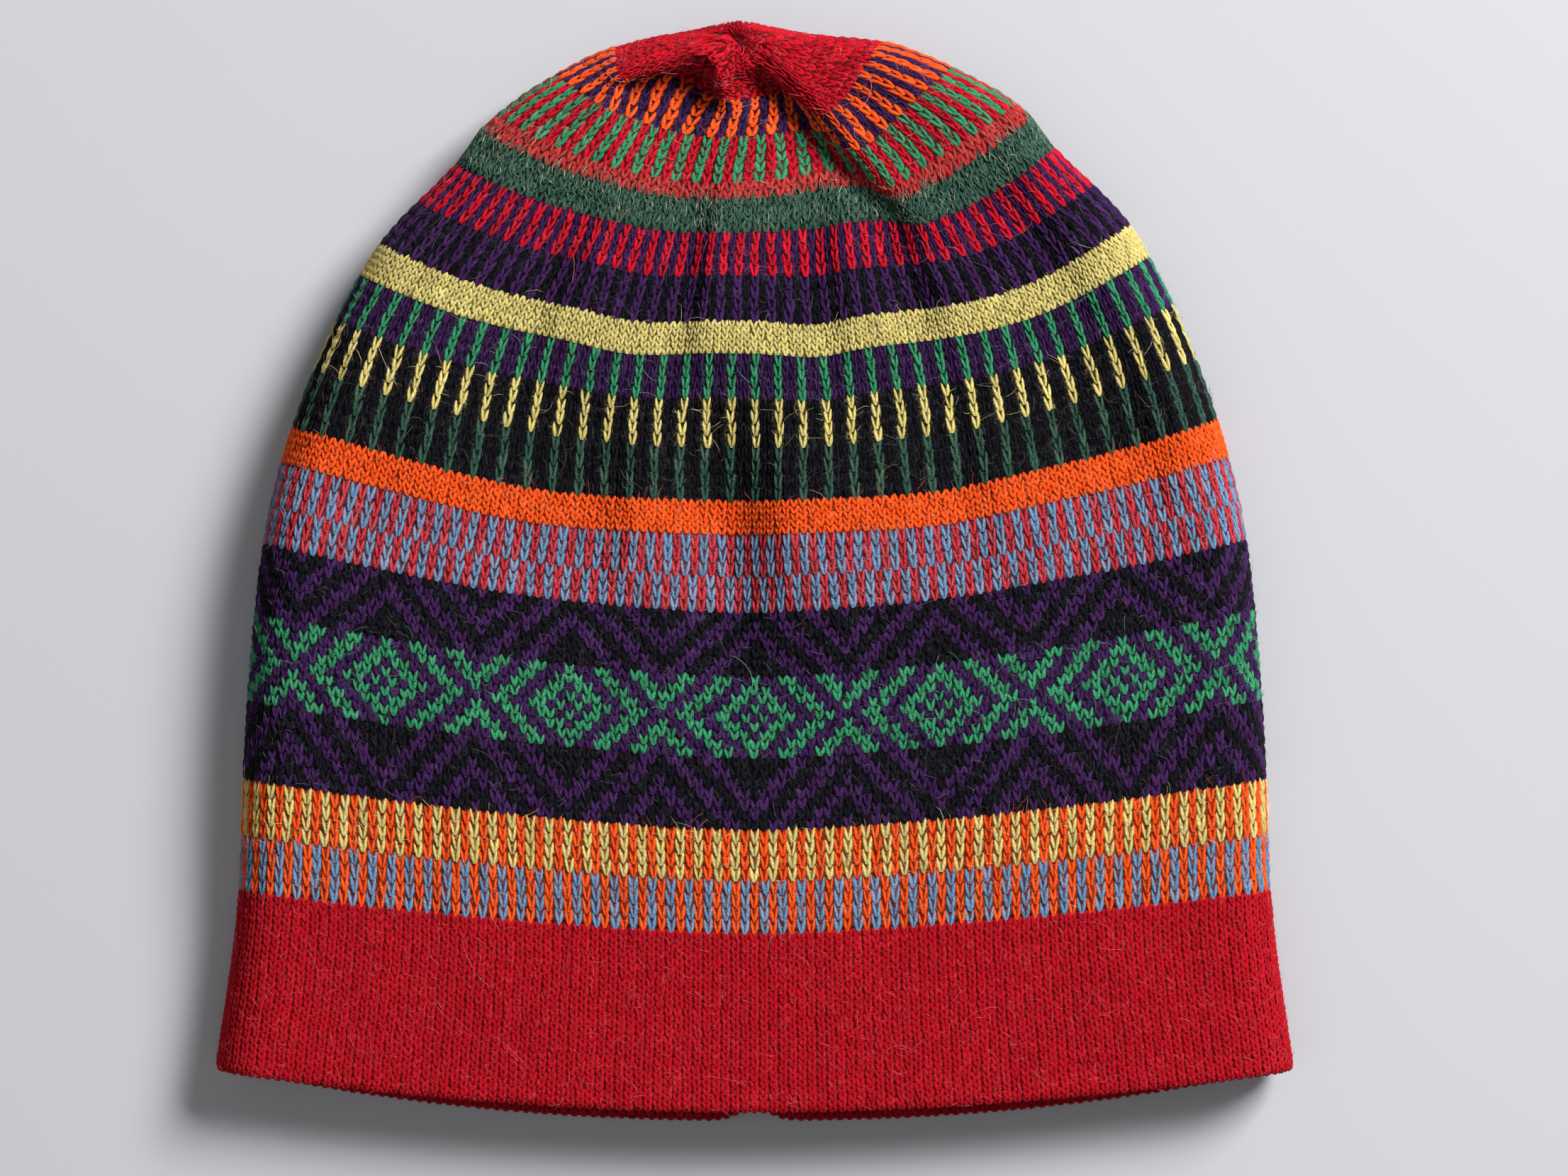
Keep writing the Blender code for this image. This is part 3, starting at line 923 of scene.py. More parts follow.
        marks = np.concatenate((
            -self.mark(inner_along)[::-1], (math.pi / 2.0 - turns) * self.fold,
            self.mark(along)))
        grid = np.concatenate((inner[::-1], arcs, outer))
        back = np.concatenate((-into[::-1], arc_back, behind))
        return Surface(marks, grid, back)


# Meshes


@dataclass
class MeshData:
    """Triangles with the colours and the yarn map of their vertices.

    Attributes:
        points: Vertices.
        faces: Vertex numbers of the triangles.
        main: Main colour of each vertex.
        ply: Second colour of each vertex.
        shade: For each vertex, heather and depth, the weight of the painted shade, in two
            numbers.
        yarn: Two coordinates of each vertex that follow the yarn.
    """

    points: Array
    faces: Array
    main: Array
    ply: Array
    shade: Array
    yarn: Array

    @staticmethod
    def joined(parts: list[MeshData]) -> MeshData:
        """Join several meshes into one.

        Args:
            parts: The meshes.

        Returns:
            One mesh.
        """
        layers = {
            layer.name: [getattr(part, layer.name) for part in parts]
            for layer in fields(MeshData)}
        starts = np.cumsum([0] + [len(part.points) for part in parts[:-1]])
        layers["faces"] = [part + start for part, start in zip(layers["faces"], starts)]
        return MeshData(**{name: np.concatenate(values) for name, values in layers.items()})

    def piece(self, name: str, material: bpy.types.Material) -> bpy.types.Object:
        """Make the mesh an object of the scene.

        Args:
            name: Name of the object.
            material: Its only material.

        Returns:
            The object, at the origin.
        """
        mesh = bpy.data.meshes.new(name)
        count = len(self.faces)
        corners = self.faces.astype(np.int32).ravel()
        mesh.vertices.add(len(self.points))
        mesh.vertices.foreach_set("co", self.points.astype(np.float32).ravel())
        mesh.loops.add(3 * count)
        mesh.loops.foreach_set("vertex_index", corners)
        mesh.polygons.add(count)
        mesh.polygons.foreach_set("loop_start", np.arange(0, 3 * count, 3, dtype=np.int32))
        mesh.update(calc_edges=True)
        mesh.shade_smooth()
        ones = np.ones((len(self.points), 1))
        for label, colour in (("main", self.main), ("ply", self.ply)):
            layer = mesh.attributes.new(label, "FLOAT_COLOR", "POINT")
            values = np.concatenate((colour, ones), axis=1).astype(np.float32)
            layer.data.foreach_set("color", values.ravel())
        # The depth attribute weights the painted shade between the stitches.
        for index, label in enumerate(("heather", "depth")):
            layer = mesh.attributes.new(label, "FLOAT", "POINT")
            layer.data.foreach_set("value", self.shade[:, index].astype(np.float32))
        yarn_map = mesh.uv_layers.new(name="yarn")
        yarn_map.data.foreach_set("uv", self.yarn[corners].astype(np.float32).ravel())
        mesh.materials.append(material)
        piece = bpy.data.objects.new(name, mesh)
        bpy.context.scene.collection.objects.link(piece)
        LOG.info("%s: %d triangles", name, count)
        return piece


def dye_tables(band: Band, lot: Array) -> tuple[Array, Array, Array]:
    """Look up the dyes of some stitches.

    Args:
        band: The band that they belong to.
        lot: For each stitch, 1 for the figure's yarn and 0 for the ground's.

    Returns:
        Main colour, ply colour and heather of each stitch.
    """
    dyes = (band.base.value, band.figure.value)
    main = np.array([dye.main for dye in dyes])[lot]
    ply = np.array([dye.ply for dye in dyes])[lot]
    heather = np.array([dye.heather for dye in dyes])[lot]
    return main, ply, heather


@dataclass(frozen=True)
class Sway:
    """A slow uneven change from stitch to stitch: the mean of three sines.

    Attributes:
        size: Largest change.
        per_row: How fast it goes on from row to row.
        per_wale: How fast it goes on from wale to wale.
        phase: Where it starts.
        sines: Pace of each sine, and how much of the phase it starts with.
    """

    size: float
    per_row: float
    per_wale: float
    phase: float
    sines: tuple[tuple[float, float], ...] = ((0.37, 1.0), (0.83, 2.1), (1.71, 3.7))

    def at(self, row: Array, wale: Array) -> Array:
        """Work out the change at some stitches.

        Args:
            row: Their rows.
            wale: Their wales, 0 in the middle of the front.

        Returns:
            The change at each.
        """
        place = row * self.per_row + wale * self.per_wale
        waves = [np.sin(place * pace + start * self.phase) for pace, start in self.sines]
        return self.size * sum(waves) / len(waves)


@dataclass(frozen=True)
class Leg:
    """Form that the legs of all stitches share.

    Places on it run from 0 at its start to 1 at its end, and across it from -1 to 1.

    Attributes:
        sections: Places of its cross-sections, each of three points.
        below: How far under its row it starts, in rows.
        peak: Place where it stands highest.
        start_drop: How much lower it starts than that, as a share of the stitch's height.
        end_drop: How much lower it ends.
        end_power: Power by which it falls to its end.
        edge_drop: How much lower its edges lie than its back.
        sunk: How much lower the whole leg is set.
        end_width: Width of its ends, as a share of its fullest width.
        fullness: Power of the half sine that widens it between them.
        end_clip: How much of the half sine is cut off at either end.
        tuck_from: Place from which it comes back towards the middle.
        skew: How far its cross-sections turn with its slant.
        edge_shade: How deep its edges count for the shading.
        end_shade: How deep its ends count.
        shade_power: Power by which they do.
    """

    sections: tuple[float, ...] = (0.07, 0.42, 0.80)
    below: float = 0.14
    peak: float = 0.42
    start_drop: float = 0.35
    end_drop: float = 0.95
    end_power: float = 2.2
    edge_drop: float = 0.80
    sunk: float = 0.05
    end_width: float = 0.78
    fullness: float = 0.6
    end_clip: float = 0.02
    tuck_from: float = 0.6
    skew: float = 0.48
    # edge_shade: How much its edges count for the painted shade between the stitches.
    edge_shade: float = 0.75
    # end_shade: How much its ends count for it.
    end_shade: float = 0.55
    shade_power: float = 1.5

    def faces(self) -> Array:
        """Join the vertices: a pole, sections of three points, a pole.

        Returns:
            Vertex numbers of the triangles.
        """
        count = len(self.sections)
        last = 3 * count + 1
        faces = []
        for side in (0, 1):
            faces.append((2 + side, 1 + side, 0))
            top = 1 + 3 * (count - 1) + side
            faces.append((top, top + 1, last))
            for section in range(count - 1):
                low = 1 + 3 * section + side
                faces.append((low + 4, low + 3, low))
                faces.append((low + 1, low + 4, low))
        return np.array(faces)

    def profile(self) -> tuple[Array, Array]:
        """Set out the vertices on the leg.

        Returns:
            Their places along the leg and across it.
        """
        along = np.repeat(self.sections, 3)
        across = np.tile((-1.0, 0.0, 1.0), len(self.sections))
        return np.concatenate(([0.0], along, [1.0])), np.concatenate(([0.0], across, [0.0]))

    def width(self, q: Array) -> Array:
        """Return the share of its width at places along it: a half sine with blunt ends."""
        swell = np.sin(math.pi * np.clip(q, self.end_clip, 1.0 - self.end_clip))
        return self.end_width + (1.0 - self.end_width) * swell**self.fullness

    def height(self, q: Array, across: Array) -> Array:
        """Work out how high its vertices stand.

        From the peak it falls with the square of the distance to its start, by a higher
        power to its end, and evenly to its edges.

        Args:
            q: Places along it.
            across: Places across it.

        Returns:
            Shares of the stitch's height.
        """
        before = np.maximum(self.peak - q, 0.0) / self.peak
        after = np.maximum(q - self.peak, 0.0) / (1.0 - self.peak)
        rise = 1.0 - self.start_drop * before**2 - self.end_drop * after**self.end_power
        return rise - self.edge_drop * np.abs(across) - self.sunk

    def shade(self, q: Array, across: Array) -> Array:
        """Return how deep between the stitches its vertices lie, from 0 to 1."""
        # Weight of the painted shade, which darkens the leg towards its edges and its ends.
        ends = self.end_shade * np.abs(q - self.peak) ** self.shade_power
        return np.clip(self.edge_shade * np.abs(across) ** 2 + ends, 0.0, 1.0)


@dataclass
class Knitting:
    """Lays the stitches of bands on the skin.

    Attributes:
        surface: The fabric's right side.
        form: The hat's form.
        seed: Start of the random draws.
        inside_seed: What is added to it for the folded-in side.
        leg: Form of the legs.
        drift: How far neighbouring stitches drift sideways together, in wales.
        ripple: How far they lie higher or lower together, in rows.
        side_spread: How far one leg strays sideways, in wanders of the stitch.
        up_spread: How far it strays along the wale.
        width_spread: Spread of the legs' widths.
        height_spread: Spread of their heights, in metres.
        proud: How much higher the figure's stitches stand for a relief of 1, in metres.
        broad: How much wider they lie for it.
        withdrawn: Relief of the ground's stitches, against 1 for the figure's.
        tone_spread: Spread of the brightness, in wanders of the stitch.
        tone_sway: Change of the brightness along the rows.
        patches: Change of a heathered yarn from patch to patch.
        patch_tone: How much of it goes to the brightness.
        patch_ply: How much of it goes to the share of the ply's colour.
        ply_spread: Spread of that share in a heathered yarn.
        most_ply: Largest share.
        yarn_shift: Longest shift of the yarn's pattern from leg to leg, in millimetres.
        yarn_turn: How many times as far the pattern shifts across the leg.
    """

    surface: Surface
    form: HatForm
    seed: int = 5
    inside_seed: int = 7
    leg: Leg = Leg()
    drift: Sway = Sway(0.09, 1.9, 0.11, 1.3)
    ripple: Sway = Sway(0.02, 0.0, 1.0, 2.0)
    side_spread: float = 0.5
    up_spread: float = 0.4
    width_spread: float = 0.10
    height_spread: float = 0.04 * MM
    proud: float = 0.20 * MM
    broad: float = 0.22
    withdrawn: float = 0.6
    tone_spread: float = 2.0
    tone_sway: Sway = Sway(0.08, 0.0, 1.7, 0.4)
    patches: Sway = Sway(1.0, 0.7, 1.3, 2.6)
    patch_tone: float = 0.20
    patch_ply: float = 0.18
    ply_spread: float = 0.45
    most_ply: float = 0.8
    yarn_shift: float = 40.0
    yarn_turn: float = 3.0

    def _dyed(
        self, band: Band, row: Array, wale: Array, lot: Array, draw: np.random.Generator
    ) -> tuple[Array, Array, Array]:
        """Colour the stitches, each a little off its yarn's own colours.

        Args:
            band: Their band.
            row: Their rows.
            wale: Their wales, 0 in the middle of the front.
            lot: For each, 1 for the figure's yarn and 0 for the ground's.
            draw: Source of the random draws.

        Returns:
            Main colour, ply colour and heather of each stitch.
        """
        main, ply, heather = dye_tables(band, lot)
        tone = 1.0 + self.tone_spread * band.style.value.wander * draw.standard_normal(len(row))
        tone = tone * (1.0 + self.tone_sway.at(row, wale))
        main = np.clip(main * tone[:, None], 0.0, 1.0)
        patch = heather**2 * self.patches.at(row, wale)
        main = np.clip(main * (1.0 + self.patch_tone * patch)[:, None], 0.0, 1.0)
        blend = self.ply_spread * heather * draw.standard_normal(len(row))
        blend = np.clip(blend + self.patch_ply * patch, 0.0, self.most_ply)[:, None]
        return main * (1.0 - blend) + ply * blend, ply, heather

    def _legs(
        self, stitch: Stitch, row: Array, wale: Array, lot: Array, draw: np.random.Generator
    ) -> tuple[Array, Array, Array]:
        """Shape the two legs of each stitch.

        A leg's middle line goes sideways by foot + (spread - foot) q^flare, less the tuck
        over its last part, and up by reach q, for q from 0 to 1. It is highest before its
        middle and falls to nothing where it goes under the foot of the next stitch.

        Args:
            stitch: Form of the stitches.
            row: Their rows.
            wale: Their wales, 0 in the middle of the front.
            lot: For each, 1 for the figure's yarn and 0 for the ground's.
            draw: Source of the random draws.

        Returns:
            For each vertex of each leg, its place up the wale in rows, sideways in wales,
            and its height over the skin in metres.
        """
        q, across = (values[None, None, :] for values in self.leg.profile())
        side = np.array((-1.0, 1.0))[None, :, None]

        def each(size: float, legs: int = 2) -> Array:
            """Draw a random number of some size for each leg, or for both legs together."""
            return size * draw.standard_normal((len(row), legs, 1))

        lean = each(stitch.wander, legs=1)
        drift = self.drift.at(row, wale)[:, None, None]
        ripple = self.ripple.at(row, wale)[:, None, None]
        width = stitch.width / 2.0 * (1.0 + each(self.width_spread)) * self.leg.width(q)
        spread = stitch.spread - stitch.foot
        tucked = (q - self.leg.tuck_from) / (1.0 - self.leg.tuck_from)
        sideways = stitch.foot + spread * q**stitch.flare - stitch.tuck * smooth_step(tucked)
        sideways = side * (sideways + each(self.side_spread * stitch.wander)) + lean + drift
        up = (stitch.reach + each(stitch.wander)) * q - self.leg.below + ripple
        up = up + each(self.up_spread * stitch.wander)
        up = up - self.leg.skew * spread * side * across * width
        proud = stitch.relief * np.where(lot == 1, 1.0, -self.withdrawn)[:, None, None]
        sideways = (sideways + across * width) * (1.0 + self.broad * proud)
        height = stitch.height * (self.leg.height(q, across) - 1.0)
        height = height + each(self.height_spread) + self.proud * proud
        return up, sideways, height

    def band(self, band: Band, mirrored: bool = False) -> MeshData:
        """Knit one band.

        Args:
            band: The band.
            mirrored: True for the folded-in side of the hem, which runs the other way.

        Returns:
            The band's mesh.
        """
        seed = self.seed + sum(map(ord, band.name)) + self.inside_seed * mirrored
        draw = np.random.default_rng(seed)
        stitch = band.style.value
        rows, wales = np.meshgrid(np.arange(band.rows), np.arange(band.wales), indexing="ij")
        rows, wales = rows.ravel(), wales.ravel()
        signed = band.centred(wales)
        lot = band.yarns(rows, signed)
        main, ply, heather = self._dyed(band, rows, signed, lot, draw)
        up, sideways, height = self._legs(stitch, rows, signed, lot, draw)

        first = band.start + rows[:, None, None] * band.row_height()
        mark = self.form.mark(first + up * band.row_height())
        if mirrored:
            mark = -mark
        share = (wales[:, None, None] + sideways) / band.wales
        mark, share, height = np.broadcast_arrays(mark, share, height)
        points = self.surface.place(mark, share, height)
        points[..., 2] = np.maximum(points[..., 2], 0.0)

        stitches, legs, corners = mark.shape
        faces = self.leg.faces()[:, ::-1] if mirrored else self.leg.faces()
        faces = faces[None, :, :] + corners * np.arange(stitches * legs)[:, None, None]
        q, across = self.leg.profile()
        length = stitch.reach * band.row_height() * self.form.fabric / MM
        shift = draw.random((stitches, legs, 1)) * self.yarn_shift
        yarn = np.stack((q * length + shift, across / 2.0 + shift * self.yarn_turn), axis=-1)
        # How dark the painted shade between the stitches is at each vertex.
        depth = np.broadcast_to(self.leg.shade(q, across), mark.shape)
        main, ply, heather = (
            np.repeat(values, legs * corners, axis=0) for values in (main, ply, heather))
        return MeshData(
            points.reshape(-1, 3), faces.reshape(-1, 3), main, ply,
            np.stack((heather, depth.ravel()), axis=1), yarn.reshape(-1, 2))


@dataclass
class Sheet:
    """Closed sheet of fabric under the stitches, with the reverse side on its back.

    Attributes:
        surface: The fabric's right side.
        form: The hat's form.
        columns: Points round each ring.
        sink: How far the front lies below the skin, in metres.
        depth: How far the back lies below it.
        row_height: Height of a row of loops on the back.
        last_gap: How far under a band's end its last ring lies, in rows.
        fold_places: Places of the rings on the hem's fold, from -1 inside to 1 outside.
        own_share: Share of the yarn in use in the colour of the reverse side.
    """

    surface: Surface
    form: HatForm
    columns: int = ROUND
    sink: float = 0.55 * MM
    depth: float = 1.6 * MM
    row_height: float = 2.2 * MM
    last_gap: float = 0.05
    fold_places: tuple[float, ...] = (-1.0, -0.4, 0.4)
    own_share: float = 0.45

    def build(self, bands: tuple[Band, ...], hem: bool = False, tip: bool = False) -> MeshData:
        """Build the sheet under some bands.

        The front is a ring of points between every two rows, painted in shade as it shows
        only between the stitches, and the back the same rings moved behind the skin. Both
        are joined at the lower and upper edge, or meet in a point at the tip.

        Args:
            bands: Neighbouring bands, lowest first.
            hem: True for the folded hem, whose sheet starts inside at its free edge.
            tip: True where the sheet closes at the gather.

        Returns:
            The mesh.
        """
        rings = [ring for band in bands for ring in self._rings(band)]
        rings[-1] = (bands[-1].end, *rings[-1][1:])
        marks = self.form.mark(np.array([along for along, _, _ in rings]))
        if hem:
            arc = np.array(self.fold_places) * math.pi / 2.0 * self.form.fold
            marks = np.concatenate((-marks[:0:-1], arc, marks[1:]))
            rings = rings[:0:-1] + rings[:1] * len(arc) + rings[1:]
        mark, share = np.broadcast_arrays(
            marks[:, None], np.arange(self.columns)[None, :] / self.columns)
        front = self.surface.behind(mark, share, self.sink)
        back = self.surface.behind(mark, share, self.depth)
        ground, floats, ply, heather = self._colours(rings, share[0])

        def both(behind: Array, before: Array) -> Array:
            """Lay values on the back, from top to bottom, and then on the front."""
            return np.concatenate((behind[::-1], before)).reshape(-1, *before.shape[2:])

        points = both(back, front)
        points[:, 2] = np.maximum(points[:, 2], 0.0)
        wale, row = share * bands[0].wales, mark / self.row_height
        # The front, seen only between the stitches, gets the full painted shade, and the back
        # none.
        painted_shade_front = both(np.zeros(mark.shape), np.ones(mark.shape))
        layers = [
            points, both(floats, ground), both(ply, ply),
            np.stack((both(heather, heather), painted_shade_front), axis=1),
            np.stack((both(wale, wale), both(row, row)), axis=1),
        ]
        if tip:
            ends = np.stack((back[-1].mean(axis=0), front[-1].mean(axis=0)))
            tails = [ends] + [layer[-2:] for layer in layers[1:]]
            layers = [np.concatenate(pair) for pair in zip(layers, tails)]
        points, main, ply, shade, yarn = layers
        return MeshData(points, self._faces(2 * len(marks), tip), main, ply, shade, yarn)

    def _faces(self, rings: int, tip: bool) -> Array:
        """Join the rings, and close the sheet between its first ring and its last.

        Args:
            rings: Number of rings, back and front together.
            tip: True where either ring closes in a point of its own. The two points follow
                the last ring.

        Returns:
            Vertex numbers of the triangles.
        """
        index = np.arange(rings * self.columns).reshape(rings, self.columns)
        after = np.roll(index, -1, axis=1)
        faces = [(index[:-1], after[:-1], after[1:]), (index[:-1], after[1:], index[1:])]
        if tip:
            point = np.full(self.columns, rings * self.columns)
            faces += [(point, after[0], index[0]), (index[-1], after[-1], point + 1)]
        else:
            faces += [(index[-1], after[-1], after[0]), (index[-1], after[0], index[0])]
        return np.concatenate([np.stack(corners, axis=-1).reshape(-1, 3) for corners in faces])

    def _rings(self, band: Band) -> list[tuple[float, Band, int]]:
        """Return the place, band and row of each ring: one at each row and one at the end."""
        rings = [(band.start + row * band.row_height(), band, row) for row in range(band.rows)]
        return rings + [(band.end - self.last_gap * band.row_height(), band, band.rows - 1)]

    def _colours(
        self, rings: list[tuple[float, Band, int]], share: Array
    ) -> tuple[Array, Array, Array, Array]:
        """Return the colours of the sheet at each ring.

        Args:
            rings: Place, band and row of each ring.
            share: Places round the ring.

        Returns:
            The ground's colour, that of the back, where the yarn not in use floats across,
            the second colour and the heather.
        """
        grounds, floats, plies, heathers = [], [], [], []
        for _, band, row in rings:
            wale = band.centred(np.round(share * band.wales).astype(int))
            lot = band.yarns(np.full(wale.shape, row), wale)
            main, ply, heather = dye_tables(band, lot)
            other = dye_tables(band, 1 - lot)[0]
            grounds.append(np.broadcast_to(band.base.value.main, main.shape))
            floats.append(main * self.own_share + other * (1.0 - self.own_share))
            plies.append(ply)
            heathers.append(heather)
        return np.array(grounds), np.array(floats), np.array(plies), np.array(heathers)


@dataclass(frozen=True)
class Fibres:
    """One kind of loose fibre.

    Attributes:
        count: Number of them, before the narrower rings lose their share.
        shortest: Length of the shortest, in metres.
        longest: Length of the longest.
        thickness: Thickness in metres.
        lift: How high the tip stands at most.
        slant: Spread of the directions about the wale, in radians.
        bend: Largest turn of a fibre, in radians.
        fleck: How many of them are in the yarn's fleck colour.
        sections: Cross-sections of a fibre, more for a long bent one.
    """

    count: int
    shortest: float
    longest: float
    thickness: float
    lift: float
    slant: float
    bend: float
    fleck: float
    sections: int = 2


LONG_HAIRS = Fibres(60, 6.0 * MM, 14.0 * MM, 0.055 * MM, 2.0 * MM, 3.0, 3.2, 1.0, sections=6)
FOREST_BRUSH = Fibres(2600, 1.3 * MM, 2.9 * MM, 0.34 * MM, 0.10 * MM, 0.45, 0.6, 0.07)
SALMON_BRUSH = Fibres(260, 1.3 * MM, 2.6 * MM, 0.26 * MM, 0.10 * MM, 0.5, 0.7, 0.12)


def short_fuzz(count: int) -> Fibres:
    """Return a number of the short fibres that stand all over the hat."""
    return Fibres(count, 1.4 * MM, 5.5 * MM, 0.060 * MM, 0.9 * MM, 1.0, 1.8, 0.40)


@dataclass
class Halo:
    """Loose fibres that stand over the fabric.

    Each is a closed spindle of three-sided sections on a bent line.

    Attributes:
        surface: The fabric's right side.
        form: The hat's form.
        seed: Start of the random draws.
        root: How deep in the fabric a fibre starts, in metres.
        rise_power: Power by which it rises from there.
        lowest_tip: Height of the lowest tip, as a share of the highest.
        taper: How much thinner a fibre grows towards its tip, as a share of its thickness.
        least_ring: Shortest length of a ring that is reckoned with, in metres.
        ring_widths: About how many of its widths a ring is long.
        darkest: Tone of the darkest fibres.
        tone_range: How much brighter the brightest are.
    """

    surface: Surface
    form: HatForm
    seed: int = 11
    root: float = 0.25 * MM
    rise_power: float = 1.5
    lowest_tip: float = 0.25
    taper: float = 0.15
    least_ring: float = 0.02
    ring_widths: float = 2.05
    darkest: float = 0.65
    tone_range: float = 0.6

    def grow(self, bands: tuple[Band, ...], fibres: Fibres) -> MeshData:
        """Grow fibres over some bands.

        A fibre starts in the fabric and follows it at a distance of lift q^1.5, while its
        direction in the fabric turns evenly by a random angle.

        Args:
            bands: Neighbouring bands, lowest first.
            fibres: Kind of fibre.

        Returns:
            The fibres' mesh.
        """
        draw = np.random.default_rng(self.seed + fibres.count)
        low, high = bands[0].start, bands[-1].end
        along = low + (high - low) * draw.random(fibres.count)
        weight = self.form.values(along)["half_width"]
        along = along[draw.random(fibres.count) < weight / weight.max()]
        count = len(along)
        share = draw.random(count)
        colour = self._dyed(bands, along, share, fibres.fleck, draw)
        size = fibres.shortest + (fibres.longest - fibres.shortest) * draw.random(count) ** 2
        heading = math.pi / 2.0 + fibres.slant * draw.standard_normal(count)
        turn = fibres.bend * (2.0 * draw.random(count) - 1.0)
        top = fibres.lift * (self.lowest_tip + (1.0 - self.lowest_tip) * draw.random(count))

        steps = np.linspace(0.0, 1.0, fibres.sections + 2)
        angle = heading[:, None] + turn[:, None] * (steps - 0.5)
        pace = np.diff(steps, prepend=0.0) * size[:, None]
        width = self.form.values(along)["half_width"] * self.form.width
        ring = np.maximum(self.ring_widths * width, self.least_ring)
        turned = share[:, None] + np.cumsum(np.cos(angle) * pace, axis=1) / ring[:, None]
        mark = self.form.mark(along)[:, None] + np.cumsum(np.sin(angle) * pace, axis=1)
        mark = np.minimum(mark, self.form.mark(self.form.last_ring))
        height = (top[:, None] + self.root) * steps**self.rise_power - self.root
        line = self.surface.place(mark, turned, height)
        normal = self.surface.place(mark, turned, height + MM) - line
        points = self._spindles(line, normal, fibres.thickness)
        points[..., 2] = np.maximum(points[..., 2], 0.0)

        corners = points.shape[1]
        faces = self._faces(fibres.sections)[None] + corners * np.arange(count)[:, None, None]
        colour = np.repeat(colour, corners, axis=0)
        blank = np.zeros((count * corners, 2))
        return MeshData(
            points.reshape(-1, 3), faces.reshape(-1, 3), colour, colour, blank, blank)

    def _spindles(self, line: Array, normal: Array, thickness: float) -> Array:
        """Set three corners round every inner point of each line.

        Args:
            line: Points of each fibre's middle line, from root to tip.
            normal: Directions away from the fabric at those points.
            thickness: Thickness of the fibres.

        Returns:
            Points of each fibre: the root, the sections and the tip.
        """
        tangent = unit(np.gradient(line, axis=1))
        side = unit(np.cross(tangent, unit(normal)))
        normal = np.cross(side, tangent)
        last = line.shape[1] - 1
        points = [line[:, 0:1]]
        for step in range(1, last):
            radius = thickness * (0.5 - self.taper * step / last)
            for corner in range(3):
                turn = 2.0 * math.pi * corner / 3.0
                out = math.cos(turn) * normal[:, step] + math.sin(turn) * side[:, step]
                points.append((line[:, step] + radius * out)[:, None])
        return np.concatenate(points + [line[:, last:]], axis=1)

    @staticmethod
    def _faces(sections: int) -> Array:
        """Join the vertices of one fibre: a pole, sections of three points, a pole.

        Args:
            sections: Number of sections.

        Returns:
            Vertex numbers of the triangles.
        """
        faces = []
        last = 3 * sections + 1
        for side in range(3):
            after = (side + 1) % 3
            faces.append((0, 1 + after, 1 + side))
            top = last - 3
            faces.append((top + side, top + after, last))
            for section in range(sections - 1):
                low = 1 + 3 * section
                faces.append((low + side, low + after, low + 3 + after))
                faces.append((low + side, low + 3 + after, low + 3 + side))
        return np.array(faces)

    def _dyed(
        self, bands: tuple[Band, ...], along: Array, share: Array, fleck: float,
        draw: np.random.Generator,
    ) -> Array:
        """Colour fibres after the stitches that they come out of.

        Args:
            bands: The bands that they grow on.
            along: Their places along the fabric.
            share: Their places round the ring.
            fleck: How many of them are in the fleck colour.
            draw: Source of the random draws.

        Returns:
            The colour of each fibre.
        """
        colour = np.zeros((len(along), 3))
        for band in bands:
            here = (along >= band.start) & (along <= band.end)
            row = ((along[here] - band.start) / band.row_height()).astype(int)
            lot = band.yarns(row, band.centred(np.round(share[here] * band.wales).astype(int)))
            pale = np.array([yarn.value.fleck for yarn in (band.base, band.figure)])[lot]
            own = np.array([yarn.value.ply for yarn in (band.base, band.figure)])[lot]
            chosen = draw.random(len(row))[:, None] < fleck
            tone = self.darkest + self.tone_range * draw.random((len(row), 1))
            colour[here] = np.where(chosen, pale, own) * tone
        return colour


# Finishes


